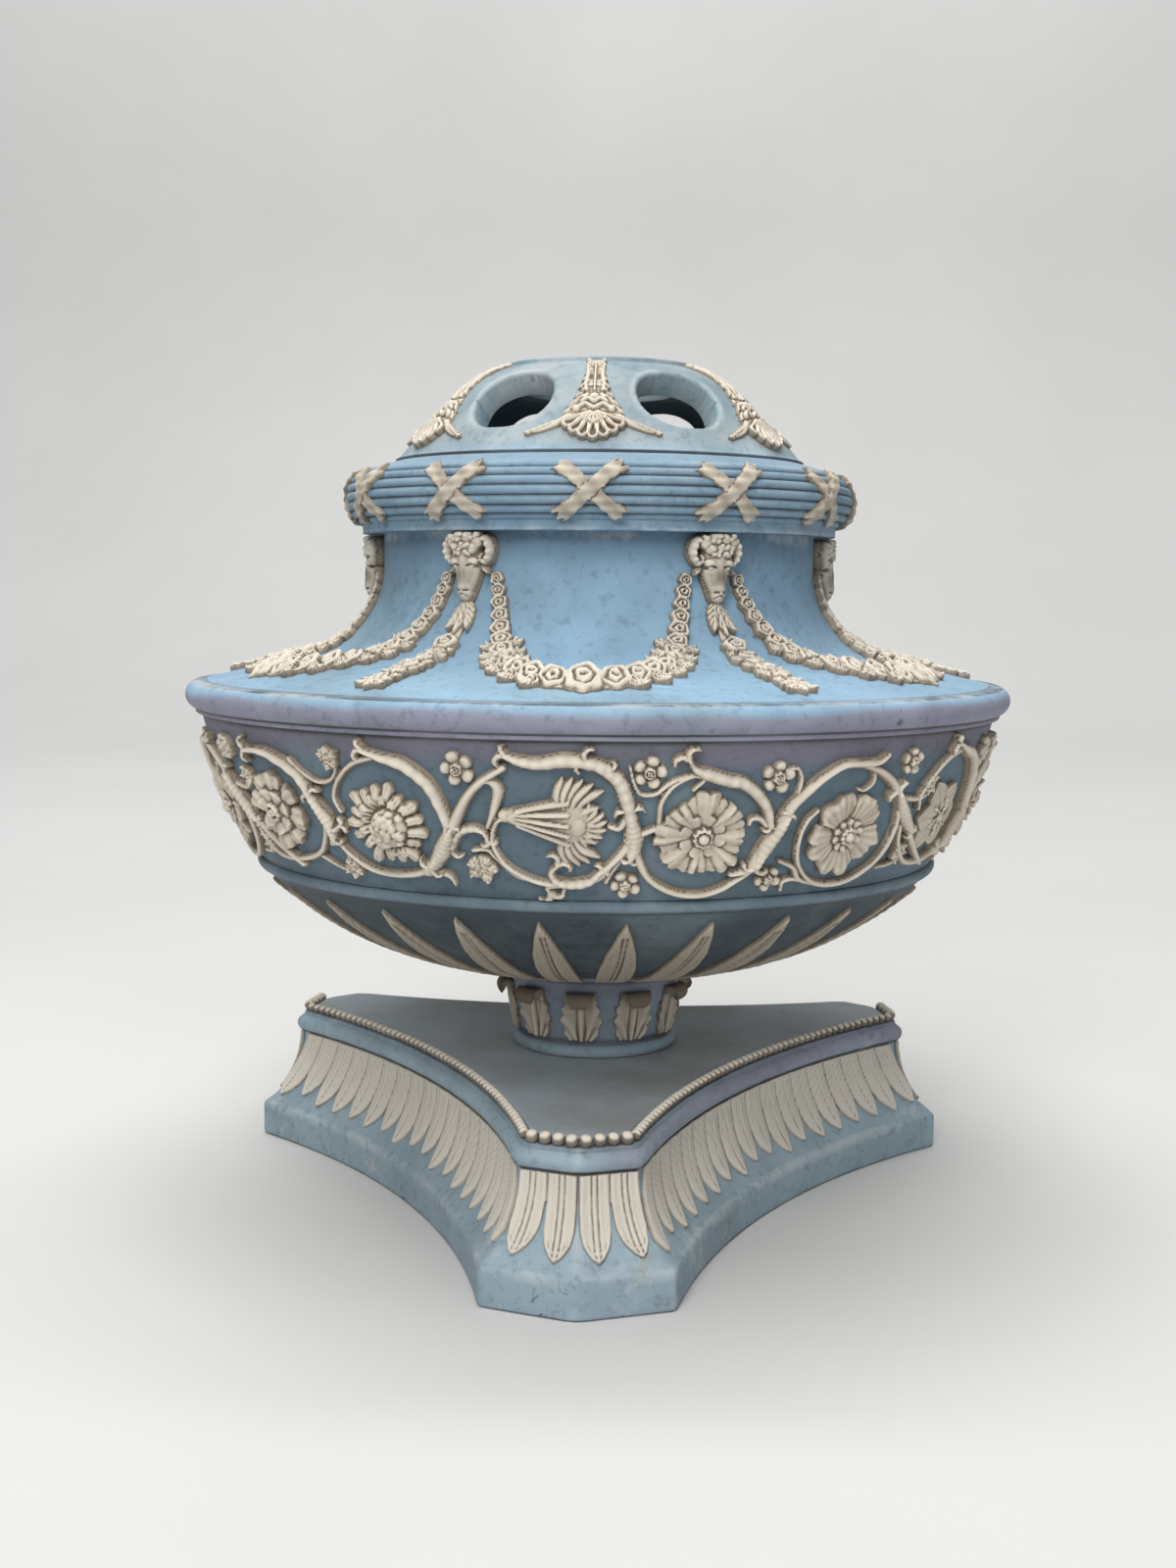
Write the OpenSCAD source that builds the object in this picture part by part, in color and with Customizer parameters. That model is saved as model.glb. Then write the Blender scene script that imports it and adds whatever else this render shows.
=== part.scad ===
// Potpourri vase with a lift-off pierced cover, standing on a three-prowed plinth.
// Sizes are in millimetres. Z is the axis of the vase, z = 0 is the table and one prow points to -Y.

/* [Plinth] */
// Distance from the axis to each prow's edge at the foot
prow_reach = 125; // [118:1:132]
// Angle of each prow facet away from the tangent, in degrees
prow_angle = 20; // [16:1:24]
// Distance from the axis to the middle of each concave side at the foot
side_reach = 65; // [60:1:72]
// Radius of the concave sides in plan
side_arc_r = 258; // [240:1:290]
// Height of the upright slab at the foot
slab_h = 11.4; // [9:0.2:14]
// Height of the deck that carries the stem
deck_h = 43; // [39:0.5:48]
// How far the round moulding stands in from the foot
moulding_inset = 10; // [8:0.5:12]
// Radius of the round moulding
moulding_r = 2.9; // [2.2:0.1:3.6]
// Thickness of the plinth's wall at its narrowest height
plinth_wall = 9; // [7:0.5:12]
// Thickness of the deck
deck_t = 10; // [8:0.5:14]
// Diameter of the pearls along the deck's edge
bead_d = 3; // [2.4:0.1:3.4]
// Leaves on each concave side
side_leaf_count = 18; // [14:1:20]

/* [Stem] */
// Height of the stem between the deck and the bowl
stem_h = 28; // [24:0.5:34]
// Radius of the round moulding at the stem's foot
stem_foot_r = 25.6; // [23:0.1:29]
// Radius of the stem's waist
stem_waist_r = 23.4; // [21:0.1:25]
// Radius of the collar under the bowl
stem_collar_r = 29.5; // [28:0.1:32]
// Acanthus leaves round the stem
acanthus_count = 10; // [6:1:11]

/* [Bowl] */
// Radius of the curve of the bowl's underside
underside_r = 103; // [98:1:108]
// Angle that the underside turns through, in degrees
underside_sweep = 45; // [42:1:48]
// Radius of the string moulding below the frieze
string_r = 1.8; // [1.2:0.1:2.4]
// Height of the frieze wall
frieze_h = 42.6; // [40:0.2:46]
// Radius of the rim at its widest
rim_r = 125; // [122:0.5:128]
// Radius of the rim's round moulding
rim_round = 4; // [3.4:0.1:5]
// Thickness of the bowl's wall
bowl_wall = 8; // [6:0.5:10]
// Ray leaves on the underside
ray_leaf_count = 27; // [20:1:28]

/* [Frieze] */
// Radius of a loop at the middle of the vine
loop_r = 17.2; // [16:0.1:17.6]
// Radius of the large flowers
flower_r = 12; // [10:0.1:13]
// Turn of the frieze from the front, in degrees
scroll_turn = -4; // [-10:0.5:10]
// Height of the relief
relief_h = 2.4; // [1.6:0.1:3]

/* [Shoulder] */
// Slope of the shoulder above the rim, in degrees
shoulder_slope = 13; // [10:0.5:16]
// Radius of the hollow curve into the neck
knee_r = 28; // [24:0.5:32]
// Radius of the neck
neck_r = 65.5; // [63:0.5:68]
// Height of the straight neck
neck_h = 9; // [7:0.5:12]
// Thickness of the shoulder's wall
shoulder_wall = 7; // [6:0.5:9]

/* [Collar] */
// Height of the collar from the neck to the cover's seat
collar_h = 21.5; // [20.5:0.1:24]
// Radius of the bundle of reeds in section
bundle_r = 8.9; // [8:0.1:9.6]
// Radius of one reed
reed_r = 1.3; // [1.1:0.05:1.5]
// Radius of the collar's mouth
mouth_bore_r = 55.6; // [52:0.2:57]

/* [Cover] */
// Radius of the cover at its seat
cover_r = 62; // [60:0.2:64]
// Slope of the cover's lower part, in degrees
dome_slope = 50; // [46:0.5:54]
// Radius of the curve at the cover's crown
crown_r = 34; // [30:0.5:38]
// Radius of the raised rim at the top
top_rim_r = 29.2; // [27:0.2:31]
// Radius of the open mouth at the top
top_mouth_r = 22; // [18:0.5:25]
// Thickness of the cover
cover_wall = 7; // [5.5:0.5:8]
// Width of each oval hole
hole_w = 25.2; // [22:0.2:27]
// Length of each oval hole along the slope
hole_l = 22.8; // [20:0.2:24]
// Clearance of the cover's flange in the mouth
seat_clearance = 0.6; // [0.4:0.1:1]

/* [Tie bolt] */
// Diameter of the bolt that ties the bowl, stem and plinth
bolt_d = 8; // [6:0.5:10]
// Clearance round the bolt
bolt_clearance = 0.6; // [0.4:0.1:1]

/* [Hidden] */

// Colours of the coloured body and of the cream reliefs
body_blue = [0.50, 0.67, 0.82];
relief_cream = [0.80, 0.74, 0.66];
iron_grey = [0.32, 0.30, 0.29];
leather_brown = [0.36, 0.24, 0.16];

// Thin gap of slip between a relief and the body that carries it
film = 0.22;
// Least thickness of a relief at its edge, and the height of a leaf's midrib above it
edge_t = 0.7;
rib_h = 0.8;
// Roundness of the solids of revolution
$fn = 96;

// A whole turn in degrees
full_turn = 360;

// Three prows, and the azimuth between neighbours
prows = 3;
prow_step = full_turn / prows;

// Points on an arc, angles in degrees from +X
function arc(c, r, a0, a1, n) =
    [for (i = [0:n]) let (a = a0 + (a1 - a0) * i / n) c + r * [cos(a), sin(a)]];
// Points on the arc of radius r from p to q that bulges to the right of the way from p to q
function bulge(p, q, r, n) =
    let (m = (p + q) / 2, d = q - p, k = sqrt(r * r - d * d / 4) / norm(d))
    let (c = m + k * [-d.y, d.x], a0 = atan2(p.y - c.y, p.x - c.x), a1 = atan2(q.y - c.y, q.x - c.x))
    arc(c, r, a0, a1, n);
// Running length at each point of a path
function lengths(p) =
    [for (i = 0, s = 0; i < len(p); s = s + (i + 1 < len(p) ? norm(p[i + 1] - p[i]) : 0), i = i + 1) s];
function path_length(p) = let (l = lengths(p)) l[len(l) - 1];

// A skin is a pair of functions: the radius at a length s along the path, and the point at an azimuth,
// a length s and a height above the surface. Azimuth 0 faces -Y and grows to the viewer's right.
step = 0.05;
function clamp(s, top) = min(max(s, step), top - step);
function section(path) =
    let (l = lengths(path), n = len(path) - 1)
    let (xs = [for (i = [0:n]) [l[i], path[i].x]], ys = [for (i = [0:n]) [l[i], path[i].y]])
    function (s, h, side)
        let (c = clamp(s, l[n]))
        let (d = [lookup(c + step, xs) - lookup(c - step, xs), lookup(c + step, ys) - lookup(c - step, ys)])
        [lookup(s, xs), lookup(s, ys)] + side * h * [d.y, -d.x] / norm(d);
function round_skin(path, side = 1) =
    let (at = section(path))
    [function (s) at(s, 0, side).x,
     function (az, s, h) let (p = at(s, h, side)) [side * p.x * sin(az), -p.x * cos(az), p.y]];
// A straight skin runs along X, so its azimuth is a distance
function straight_skin(path, reach) =
    let (at = section(path))
    [function (s) 180 / PI,
     function (x, s, h) let (p = at(s, h, 1)) [x, -(reach + p.x), p.y]];

// Relief strip along a route(t) = [azimuth, s], with its half width as a function of t and its rise as a
// function of t and of u, which runs from -1 to 1 across it
module relief_strip(skin, route, half_width, rise, stations, across = 2) {
    n = len(stations) - 1;
    m = across;
    rows = (n + 1) * (m + 1);
    function spot(i, j, top) =
        let (t = stations[i], u = -1 + 2 * j / m)
        let (p = route(t), a = route(max(t - 0.01, 0)), b = route(min(t + 0.01, 1)), r = skin[0](p[1]))
        let (d = [(b[0] - a[0]) * r * PI / 180, b[1] - a[1]], e = d / norm(d), w = u * half_width(t))
        skin[1](p[0] - e.y * w / r * 180 / PI, p[1] + e.x * w, film + (top ? rise(t, u) : 0));
    points = [for (top = [true, false], i = [0:n], j = [0:m]) spot(i, j, top)];
    function at(i, j) = i * (m + 1) + j;
    function under(i, j) = rows + at(i, j);
    faces = concat(
        [for (i = [0:n - 1], j = [0:m - 1], f = [0, 1])
            f == 0 ? [at(i, j), at(i, j + 1), at(i + 1, j + 1)] : [at(i, j), at(i + 1, j + 1), at(i + 1, j)]],
        [for (i = [0:n - 1], j = [0:m - 1], f = [0, 1])
            f == 0 ? [under(i, j), under(i + 1, j + 1), under(i, j + 1)]
                   : [under(i, j), under(i + 1, j), under(i + 1, j + 1)]],
        [for (i = [0:n - 1], f = [0:3])
            [[at(i, 0), at(i + 1, 0), under(i + 1, 0)], [at(i, 0), under(i + 1, 0), under(i, 0)],
             [at(i, m), under(i + 1, m), at(i + 1, m)], [at(i, m), under(i, m), under(i + 1, m)]][f]],
        [for (j = [0:m - 1], f = [0:3])
            [[at(0, j), under(0, j + 1), at(0, j + 1)], [at(0, j), under(0, j), under(0, j + 1)],
             [at(n, j), at(n, j + 1), under(n, j + 1)], [at(n, j), under(n, j + 1), under(n, j)]][f]]);
    polyhedron(points, faces, convexity = 4);
}

// Relief disc centred at [azimuth, s], with its edge radius as a function of the angle and its rise as a
// function of the share of the radius and the angle
module relief_disc(skin, centre, edge, rise, rings, sides) {
    k = len(rings);
    function spot(share, a, h) =
        let (q = share * edge(a) * [cos(a), sin(a)], s = centre[1] + q.y)
        skin[1](centre[0] + q.x / skin[0](s) * 180 / PI, s, h);
    points = concat(
        [spot(0, 0, film + rise(0, 0))],
        [for (share = rings, j = [0:sides - 1]) let (a = full_turn * j / sides)
            spot(share, a, film + rise(share, a))],
        [for (j = [0:sides - 1]) spot(1, full_turn * j / sides, film)],
        [spot(0, 0, film)]);
    last = len(points) - 1;
    function at(ring, j) = 1 + ring * sides + j % sides;
    faces = concat(
        [for (j = [0:sides - 1]) [0, at(0, j + 1), at(0, j)]],
        [for (r = [0:1:k - 1], j = [0:sides - 1], f = [0, 1])
            f == 0 ? [at(r, j), at(r, j + 1), at(r + 1, j + 1)] : [at(r, j), at(r + 1, j + 1), at(r + 1, j)]],
        [for (j = [0:sides - 1]) [last, at(k, j), at(k, j + 1)]]);
    polyhedron(points, faces, convexity = 4);
}

// A pointed leaf's half width along its length, tip at t = 0 and full by the given share
tip_w = 0.15;
function leaf_width(t, w, full) = t >= full ? w : max(w * sin(90 * t / full), tip_w);

// Plinth

// Distance from the axis to each prow facet, and from the axis to the centre of each side's arc
facet_reach = prow_reach * cos(prow_angle);
side_centre = side_reach + side_arc_r;
// Small roundings of the slab, and the part of the moulding's circle that shows, in degrees
arris = 1;
moulding_turn = 70;
cavetto_turn = 60;
// The pearls stand on a ledge a little below the deck
ledge_drop = 1.6;
ledge_fillet = 1.2;
bead_r = bead_d / 2;
moulding_z = deck_h - ledge_drop - ledge_fillet - moulding_r * sin(moulding_turn);
throat_inset = moulding_inset + moulding_r * (1 - cos(moulding_turn));
throat_z = moulding_z - moulding_r * sin(moulding_turn);
bead_inset = throat_inset + bead_r;
ledge_inset = throat_inset + bead_d + 2 * film;
cavity_inset = throat_inset + plinth_wall;
// The prows' mouldings stand in by this share of the sides' own, and their lines lie a little higher,
// so that the two sets of lines cross cleanly where they are mitred
prow_share = 0.95;
mitre_lift = 0.06;
// Roundness of the concave sides
side_facets = 360;
// Reach of the cutters past the block
cut_past = 1;

// The hollow flare between the slab and the moulding, as [inset, height]
function cavetto(n) =
    [for (i = [0:n]) let (a = cavetto_turn * (1 - i / n))
        [arris + (throat_inset - arris) * (cos(a) - cos(cavetto_turn)) / (1 - cos(cavetto_turn)),
         throat_z - (throat_z - slab_h) * sin(a) / sin(cavetto_turn)]];
flare = cavetto(6);
prow_flare = [for (p = cavetto(5)) [prow_share * p.x, p.y + mitre_lift]];
// The edge of the block from the foot up to the deck, as [inset, height], with the flare given
function moulded_edge(hollow, share, lift, round_steps) = concat(
    [[share * arris, -cut_past], [share * arris, lift], [0, arris + lift], [0, slab_h - arris + lift]],
    hollow,
    [for (p = arc([0, moulding_z], moulding_r, -moulding_turn, moulding_turn, round_steps))
        [share * (moulding_inset + moulding_r - p.x), p.y + lift]],
    [[share * throat_inset, deck_h - ledge_drop + lift], [share * ledge_inset, deck_h - ledge_drop + lift],
     [share * ledge_inset, deck_h + cut_past]]);
side_edge = moulded_edge(flare, 1, 0, 8);
prow_edge = moulded_edge(prow_flare, prow_share, mitre_lift, 7);

// Distance from the axis to a facet where the sides stand in by the given inset
function facet_at(inset) = facet_reach - prow_share * inset;
// Where a facet meets the concave side, as a distance along the facet from the foot of its normal
function facet_end(inset) =
    let (n = [sin(prow_angle), cos(prow_angle)], t = [cos(prow_angle), -sin(prow_angle)])
    let (c = side_centre * [sin(prow_step / 2), cos(prow_step / 2)], q = n * facet_at(inset) - c)
    t * c - sqrt(pow(t * c, 2) - q * q + pow(side_arc_r + inset, 2));
function facet_start(inset) = -facet_at(inset) * tan(prow_angle);
// Half angle of a concave side, seen from the centre of its arc
function side_half_angle(inset) =
    let (w = facet_end(inset), d = facet_at(inset))
    let (p = [d * sin(prow_angle) + w * cos(prow_angle), d * cos(prow_angle) - w * sin(prow_angle)])
    let (c = side_centre * [sin(prow_step / 2), cos(prow_step / 2)])
    prow_step / 4 - atan2(c.y - p.y, c.x - p.x);

module block_plan(inset) {
    short = (facet_reach - inset) / cos(prow_angle);
    long = (facet_reach - inset) / cos(prow_step / 2 - prow_angle);
    polygon([for (i = [0:2 * prows - 1]) let (r = i % 2 == 0 ? short : long, a = i * prow_step / 2)
        r * [sin(a), -cos(a)]]);
}

module at_side(i) {
    rotate([0, 0, prow_step * (i + 0.5)])
        translate([0, -side_centre, 0])
            rotate([0, 0, 180])
                children();
}

module plinth() {
    color(body_blue)
        difference() {
            linear_extrude(height = deck_h)
                block_plan(-cut_past);
            for (i = [0:prows - 1])
                at_side(i)
                    rotate_extrude($fn = side_facets)
                        polygon(concat(
                            [[side_arc_r - prow_reach, -cut_past]],
                            [for (p = side_edge) [side_arc_r + p.x, p.y]],
                            [[side_arc_r - prow_reach, deck_h + cut_past]]));
            for (i = [0:prows - 1], hand = [-1, 1])
                rotate([0, 0, prow_step * i + hand * prow_angle])
                    translate([-prow_reach / 2, -facet_reach, 0])
                        rotate([90, 0, 90])
                            linear_extrude(height = prow_reach)
                                polygon(concat(
                                    [[-prow_reach / 5, -cut_past]],
                                    prow_edge,
                                    [[-prow_reach / 5, deck_h + cut_past]]));
            translate([0, 0, -cut_past])
                linear_extrude(height = deck_h - deck_t + cut_past)
                    difference() {
                        block_plan(cavity_inset);
                        for (i = [0:prows - 1])
                            rotate([0, 0, prow_step * (i + 0.5)])
                                translate([0, -side_centre])
                                    circle(side_arc_r + cavity_inset, $fn = 180);
                    }
            bolt_bore();
        }
}

// The pearls run along the two sides in front; the side at the back has none
back_side = 1;
function side_by(i, hand) = hand > 0 ? i : (i + prows - 1) % prows;

module plinth_bead_string() {
    facet_run = facet_end(bead_inset) - facet_start(bead_inset);
    facet_beads = floor(facet_run / (bead_d + film));
    facet_pitch = facet_run / facet_beads;
    bead_arc = side_arc_r + bead_inset;
    // The first pearl of a side stands back from the corner's own pearl
    spread = side_half_angle(bead_inset) - 0.75 * facet_pitch / bead_arc * 180 / PI;
    side_beads = floor(2 * spread * PI / 180 * bead_arc / (bead_d + film));
    color(relief_cream)
        translate([0, 0, deck_h - ledge_drop + bead_r + film / 2]) {
            for (i = [0:prows - 1], hand = [-1, 1], k = [0:facet_beads - 1])
                let (x = facet_start(bead_inset) + (k + 0.5) * facet_pitch)
                    if (side_by(i, hand) != back_side)
                        rotate([0, 0, prow_step * i + hand * prow_angle])
                            translate([hand * x, -facet_at(bead_inset), 0])
                                sphere(bead_r, $fn = 24);
            for (i = [0:prows - 1], k = [0:side_beads])
                if (i != back_side)
                    at_side(i)
                        rotate([0, 0, spread * (2 * k / side_beads - 1)])
                            translate([0, -bead_arc, 0])
                                sphere(bead_r, $fn = 24);
        }
}

// Shares of the flare, from the slab up, where the leaves start and end
side_leaf_tip = 0.16;
prow_leaf_tip = 0.10;
leaf_root = 0.97;
// Share of its pitch that a side leaf fills, and of its facet that a prow leaf fills, each to one side
side_leaf_fill = 0.43;
prow_leaf_fill = 0.21;
// Share of the side's angle that the leaves take up
side_leaf_spread = 0.96;
flare_run = path_length(flare);

module plinth_side_leaves() {
    skin = round_skin([for (p = flare) [side_arc_r + p.x, p.y]], -1);
    spread = side_half_angle(throat_inset) * side_leaf_spread;
    pitch = 2 * spread / side_leaf_count;
    half = side_leaf_fill * pitch * PI / 180 * side_arc_r;
    function up(t) = flare_run * (side_leaf_tip + (leaf_root - side_leaf_tip) * t);
    color(relief_cream)
        for (i = [0:prows - 1], k = [0:side_leaf_count - 1])
            at_side(i)
                relief_strip(skin,
                    function (t) [-spread + (k + 0.5) * pitch, up(t)],
                    function (t) leaf_width(t, half, 0.6),
                    function (t, u) edge_t + rib_h * (1 - abs(u)),
                    [0, 0.3, 1]);
}

module plinth_prow_leaves() {
    skin = straight_skin([for (p = prow_flare) [-p.x, p.y]], facet_reach);
    at = section(flare);
    function up(t) = flare_run * (prow_leaf_tip + (leaf_root - prow_leaf_tip) * t);
    function run(t) = let (inset = at(up(t), 0, 1).x) [facet_start(inset), facet_end(inset)];
    // Each facet carries two leaves, one either side of its middle
    places = [0.27, 0.73];
    color(relief_cream)
        for (i = [0:prows - 1], hand = [-1, 1], place = places)
            rotate([0, 0, prow_step * i + hand * prow_angle])
                relief_strip(skin,
                    function (t) let (r = run(t)) [hand * (r[0] + (r[1] - r[0]) * place), up(t)],
                    function (t) let (r = run(t)) leaf_width(t, prow_leaf_fill * (r[1] - r[0]), 0.55),
                    function (t, u) edge_t + rib_h * (1 - abs(u)),
                    [0, 0.15, 0.35, 0.65, 1]);
}

// Stem

// Radius of the foot's round, height of the collar and how far it stands out from the stem
stem_foot_round = 1.8;
stem_collar_h = 4;
stem_collar_step = 3;
stem_fillet = 1;
stem_hollow_r = 84;
stem_low = [stem_waist_r, deck_h + 2 * stem_foot_round + stem_fillet];
stem_high = [stem_collar_r - stem_collar_step, deck_h + stem_h - stem_collar_h];
stem_hollow = bulge(stem_low, stem_high, stem_hollow_r, 6);
stem_path = concat(
    arc([stem_foot_r - stem_foot_round, deck_h + stem_foot_round], stem_foot_round, -90, 60, 6),
    [stem_low - [0, stem_fillet / 2]],
    stem_hollow,
    [[stem_collar_r, stem_high.y + stem_fillet], [stem_collar_r, deck_h + stem_h]]);
bore_r = bolt_d / 2 + bolt_clearance;

module bolt_bore() {
    cylinder(r = bore_r, h = 2 * (deck_h + stem_h + bowl_wall));
}

module stem() {
    color(body_blue)
        rotate_extrude()
            polygon(concat([[bore_r, deck_h]], stem_path, [[bore_r, deck_h + stem_h]]));
}

// Share of the stem's girth that the leaves cover, and how far their tips curl out
acanthus_fill = 0.8;
acanthus_curl = 2.6;
// Turn of the first leaf from the front
acanthus_turn = -7;

module stem_acanthus_leaves() {
    skin = round_skin(stem_hollow);
    run = path_length(stem_hollow);
    half = acanthus_fill * PI * stem_waist_r / acanthus_count;
    color(relief_cream)
        for (k = [0:acanthus_count - 1])
            relief_strip(skin,
                function (t) [acanthus_turn + full_turn * k / acanthus_count, run * (0.03 + 0.94 * t)],
                function (t) half * (0.78 + 0.22 * sin(540 * t)) * (t < 0.7 ? 1 : 1 - 1.6 * (t - 0.7)),
                function (t, u) edge_t + rib_h * (1 - abs(u)) + acanthus_curl * pow(t, 5),
                [0, 0.17, 0.34, 0.5, 0.67, 0.84, 1], 4);
}

// Bowl

bowl_z = deck_h + stem_h;
under_centre = [stem_collar_r, bowl_z + underside_r];
under_path = arc(under_centre, underside_r, -90, underside_sweep - 90, 12);
under_end = under_centre + underside_r * [sin(underside_sweep), -cos(underside_sweep)];
// Small steps of the mouldings, and the part of the rim's circle that shows, in degrees
string_step = 0.8;
rim_overhang = 4.8;
rim_fillet = 1.6;
rim_turn = 75;
wall_bulge_r = 180;
wall_start = under_end + [string_step, 2 * string_r];
wall_end = [rim_r - rim_overhang, wall_start.y + frieze_h];
wall_path = bulge(wall_start, wall_end, wall_bulge_r, 8);
rim_centre = [rim_r - rim_round, wall_end.y + rim_fillet + rim_round * sin(rim_turn)];
rim_path = arc(rim_centre, rim_round, -rim_turn, rim_turn, 12);
seat_z = rim_centre.y + rim_round * sin(rim_turn);
seat_r = rim_centre.x + rim_round * cos(rim_turn);
floor_z = bowl_z + bowl_wall;

module bowl() {
    inner_arc = arc(under_centre, underside_r - bowl_wall, underside_sweep - 90, -90, 8);
    color(body_blue)
        rotate_extrude()
            polygon(concat(
                [[bore_r, bowl_z]],
                under_path,
                arc(under_end + [0, string_r], string_r, -90, 90, 8),
                wall_path,
                [[seat_r, wall_end.y + rim_fillet / 3]],
                rim_path,
                [[wall_end.x - bowl_wall, seat_z], [wall_end.x - bowl_wall, wall_end.y]],
                inner_arc,
                [[bore_r, floor_z]]));
}

// Shares of the underside where the rays end and start, and of their pitch that they fill to one side
ray_tip = 0.93;
ray_root = 0.03;
ray_fill = 0.34;
// Steps along a ray, close enough for its straight stretches to stay clear of the bowl's curve
ray_steps = 6;

module bowl_ray_leaves() {
    skin = round_skin(under_path);
    run = path_length(under_path);
    pitch = 2 * PI * (stem_collar_r + underside_r * sin(underside_sweep / 2)) / ray_leaf_count;
    color(relief_cream)
        for (k = [0:ray_leaf_count - 1])
            relief_strip(skin,
                function (t)
                    [full_turn * (k + 0.5) / ray_leaf_count, run * (ray_tip + (ray_root - ray_tip) * t)],
                function (t) min(leaf_width(t, ray_fill * pitch, 0.55), ray_fill * pitch * (1.55 - 0.95 * t)),
                function (t, u) edge_t + rib_h * (1 - abs(u)),
                [for (i = [0:ray_steps]) i / ray_steps]);
}

// Frieze

frieze_skin = round_skin(wall_path);
// Six kinds of flower take turns, one in each loop of the scroll, and the first two stand left of the front
kinds = 6;
// Half width of the vine, and how far a loop winds inwards from its start
vine_w = 1.3;
vine_wind = 1.8;
vine_steps = 8;
// Bare wall left below the scroll
scroll_foot = 3.1;
// Height of the scroll's middle line up the wall
scroll_s = scroll_foot + loop_r + vine_wind / 3 + vine_w;
scroll_r = frieze_skin[0](scroll_s);
// Width of one loop with its vine, and the least space left between two loops
loop_w = 2 * (loop_r + vine_wind / 3 + vine_w);
loop_space = 3;
// As many loops as go round the wall
loop_count = floor(2 * PI * scroll_r / (loop_w + loop_space));
first_loop = -2;
last_loop = first_loop + loop_count - 1;
loop_step = full_turn / loop_count;
function loop_az(k) = scroll_turn + loop_step * k;
loop_gap = 2 * PI * scroll_r / loop_count - loop_w;
// Radius of the small florets and leaves between the loops
floret_r = 3.4;
// Angle in degrees of a length x round a circle of radius r
function mm_az(x, r) = x / r * 180 / PI;

// One loop of vine: it leaves the junction, sweeps over the flower and ends below it
module vine_loop(k) {
    relief_strip(frieze_skin,
        function (t) let (a = 190 - 300 * t, r = loop_r + vine_wind * (1 / 3 - t))
            [loop_az(k) + mm_az(r * cos(a), scroll_r), scroll_s + r * sin(a)],
        function (t) vine_w * (1 - 0.35 * t),
        function (t, u) edge_t + (relief_h - edge_t) * (1 - u * u) * (1 - 0.3 * t),
        [for (i = [0:vine_steps]) i / vine_steps]);
}

module frieze_scroll_vine() {
    color(relief_cream)
        for (k = [first_loop:last_loop])
            vine_loop(k);
}

// A leafy sheath where one loop springs from the last
module frieze_leaf_sheaths() {
    // The sheath is as wide as the space between the loops lets it be
    function room(y) = loop_gap / 2 + loop_r + vine_w - sqrt(pow(loop_r + vine_w, 2) - y * y);
    function up(t) = loop_r * (-0.25 + 0.8 * t);
    color(relief_cream)
        for (k = [first_loop:last_loop])
            relief_strip(frieze_skin,
                function (t) [loop_az(k + 0.5), scroll_s + up(t)],
                function (t) 0.7 * room(up(t)) * (t < 0.8 ? 1 : 1 - 4.5 * (t - 0.8)),
                function (t, u) edge_t + 0.8 * (relief_h - edge_t) * (1 - abs(u)),
                [0, 0.4, 0.8, 1]);
}

module frieze_florets() {
    color(relief_cream)
        for (k = [first_loop:last_loop])
            relief_disc(frieze_skin,
                [loop_az(k + 0.5), scroll_s + loop_r - 1],
                function (a) floret_r * (1 + 0.18 * cos(5 * a)),
                function (q, a) q < 0.1 ? relief_h : edge_t,
                [1], 10);
}

module frieze_vine_leaves() {
    color(relief_cream)
        for (k = [first_loop:last_loop])
            relief_disc(frieze_skin,
                [loop_az(k + 0.5), scroll_s - loop_r + 2],
                function (a) floret_r * (0.9 + 0.26 * cos(3 * (a + 90))),
                function (q, a) edge_t + rib_h * (1 - q),
                [1], 9);
}

// A large flower of one kind in every sixth loop
module flowers(first, petals, sides, notch, rings, rise) {
    color(relief_cream)
        for (k = [first:kinds:last_loop])
            relief_disc(frieze_skin, [loop_az(k), scroll_s],
                function (a) flower_r * (1 - notch * (1 + cos(petals * a)) / 2),
                rise, rings, sides);
}

module frieze_bellflowers() {
    color(relief_cream)
        for (k = [0:kinds:last_loop])
            relief_strip(frieze_skin,
                function (t) [loop_az(k) + mm_az(flower_r * (-0.95 + 1.9 * t), scroll_r), scroll_s],
                function (t)
                    flower_r * lookup(t, [[0, 0.2], [0.3, 0.35], [0.62, 0.44], [0.8, 0.86], [1, 0.6]]),
                function (t, u) edge_t + relief_h * (1 - u * u) * (0.5 + 0.6 * t),
                [0, 0.14, 0.32, 0.62, 0.8, 1], 4);
}

module frieze_peonies() {
    flowers(1, 8, 16, 0.14, [0.24, 0.3, 0.7, 1],
        function (q, a) q < 0.25 ? relief_h : q < 0.35 ? edge_t : edge_t + (0.9 + 0.5 * cos(8 * a)) * q);
}

module frieze_wild_roses() {
    flowers(2, 5, 20, 0.2, [0.22, 0.3, 0.75, 1],
        function (q, a)
            q < 0.25 ? relief_h : q < 0.35 ? edge_t + 0.2 : edge_t + 1.3 * q - 0.5 * q * cos(5 * a));
}

module frieze_lilies() {
    flowers(3, 6, 12, 0.42, [0.25, 0.6, 1],
        function (q, a) q < 0.3 ? edge_t + 0.4 : edge_t + 1.4 * (1 - q) - 0.4 * cos(6 * a));
}

module frieze_anemones() {
    flowers(-2, 7, 14, 0.22, [0.2, 0.32, 0.75, 1],
        function (q, a) q < 0.25 ? relief_h : q < 0.4 ? edge_t + 0.3 : edge_t + 1.1 * q);
}

module frieze_sunflowers() {
    flowers(-1, 10, 20, 0.12, [0.28, 0.46, 0.55, 1],
        function (q, a) q < 0.5 ? relief_h * (1.2 - q) + edge_t : edge_t + 0.5 + 0.4 * (1 - q));
}

// Shoulder and neck

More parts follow.
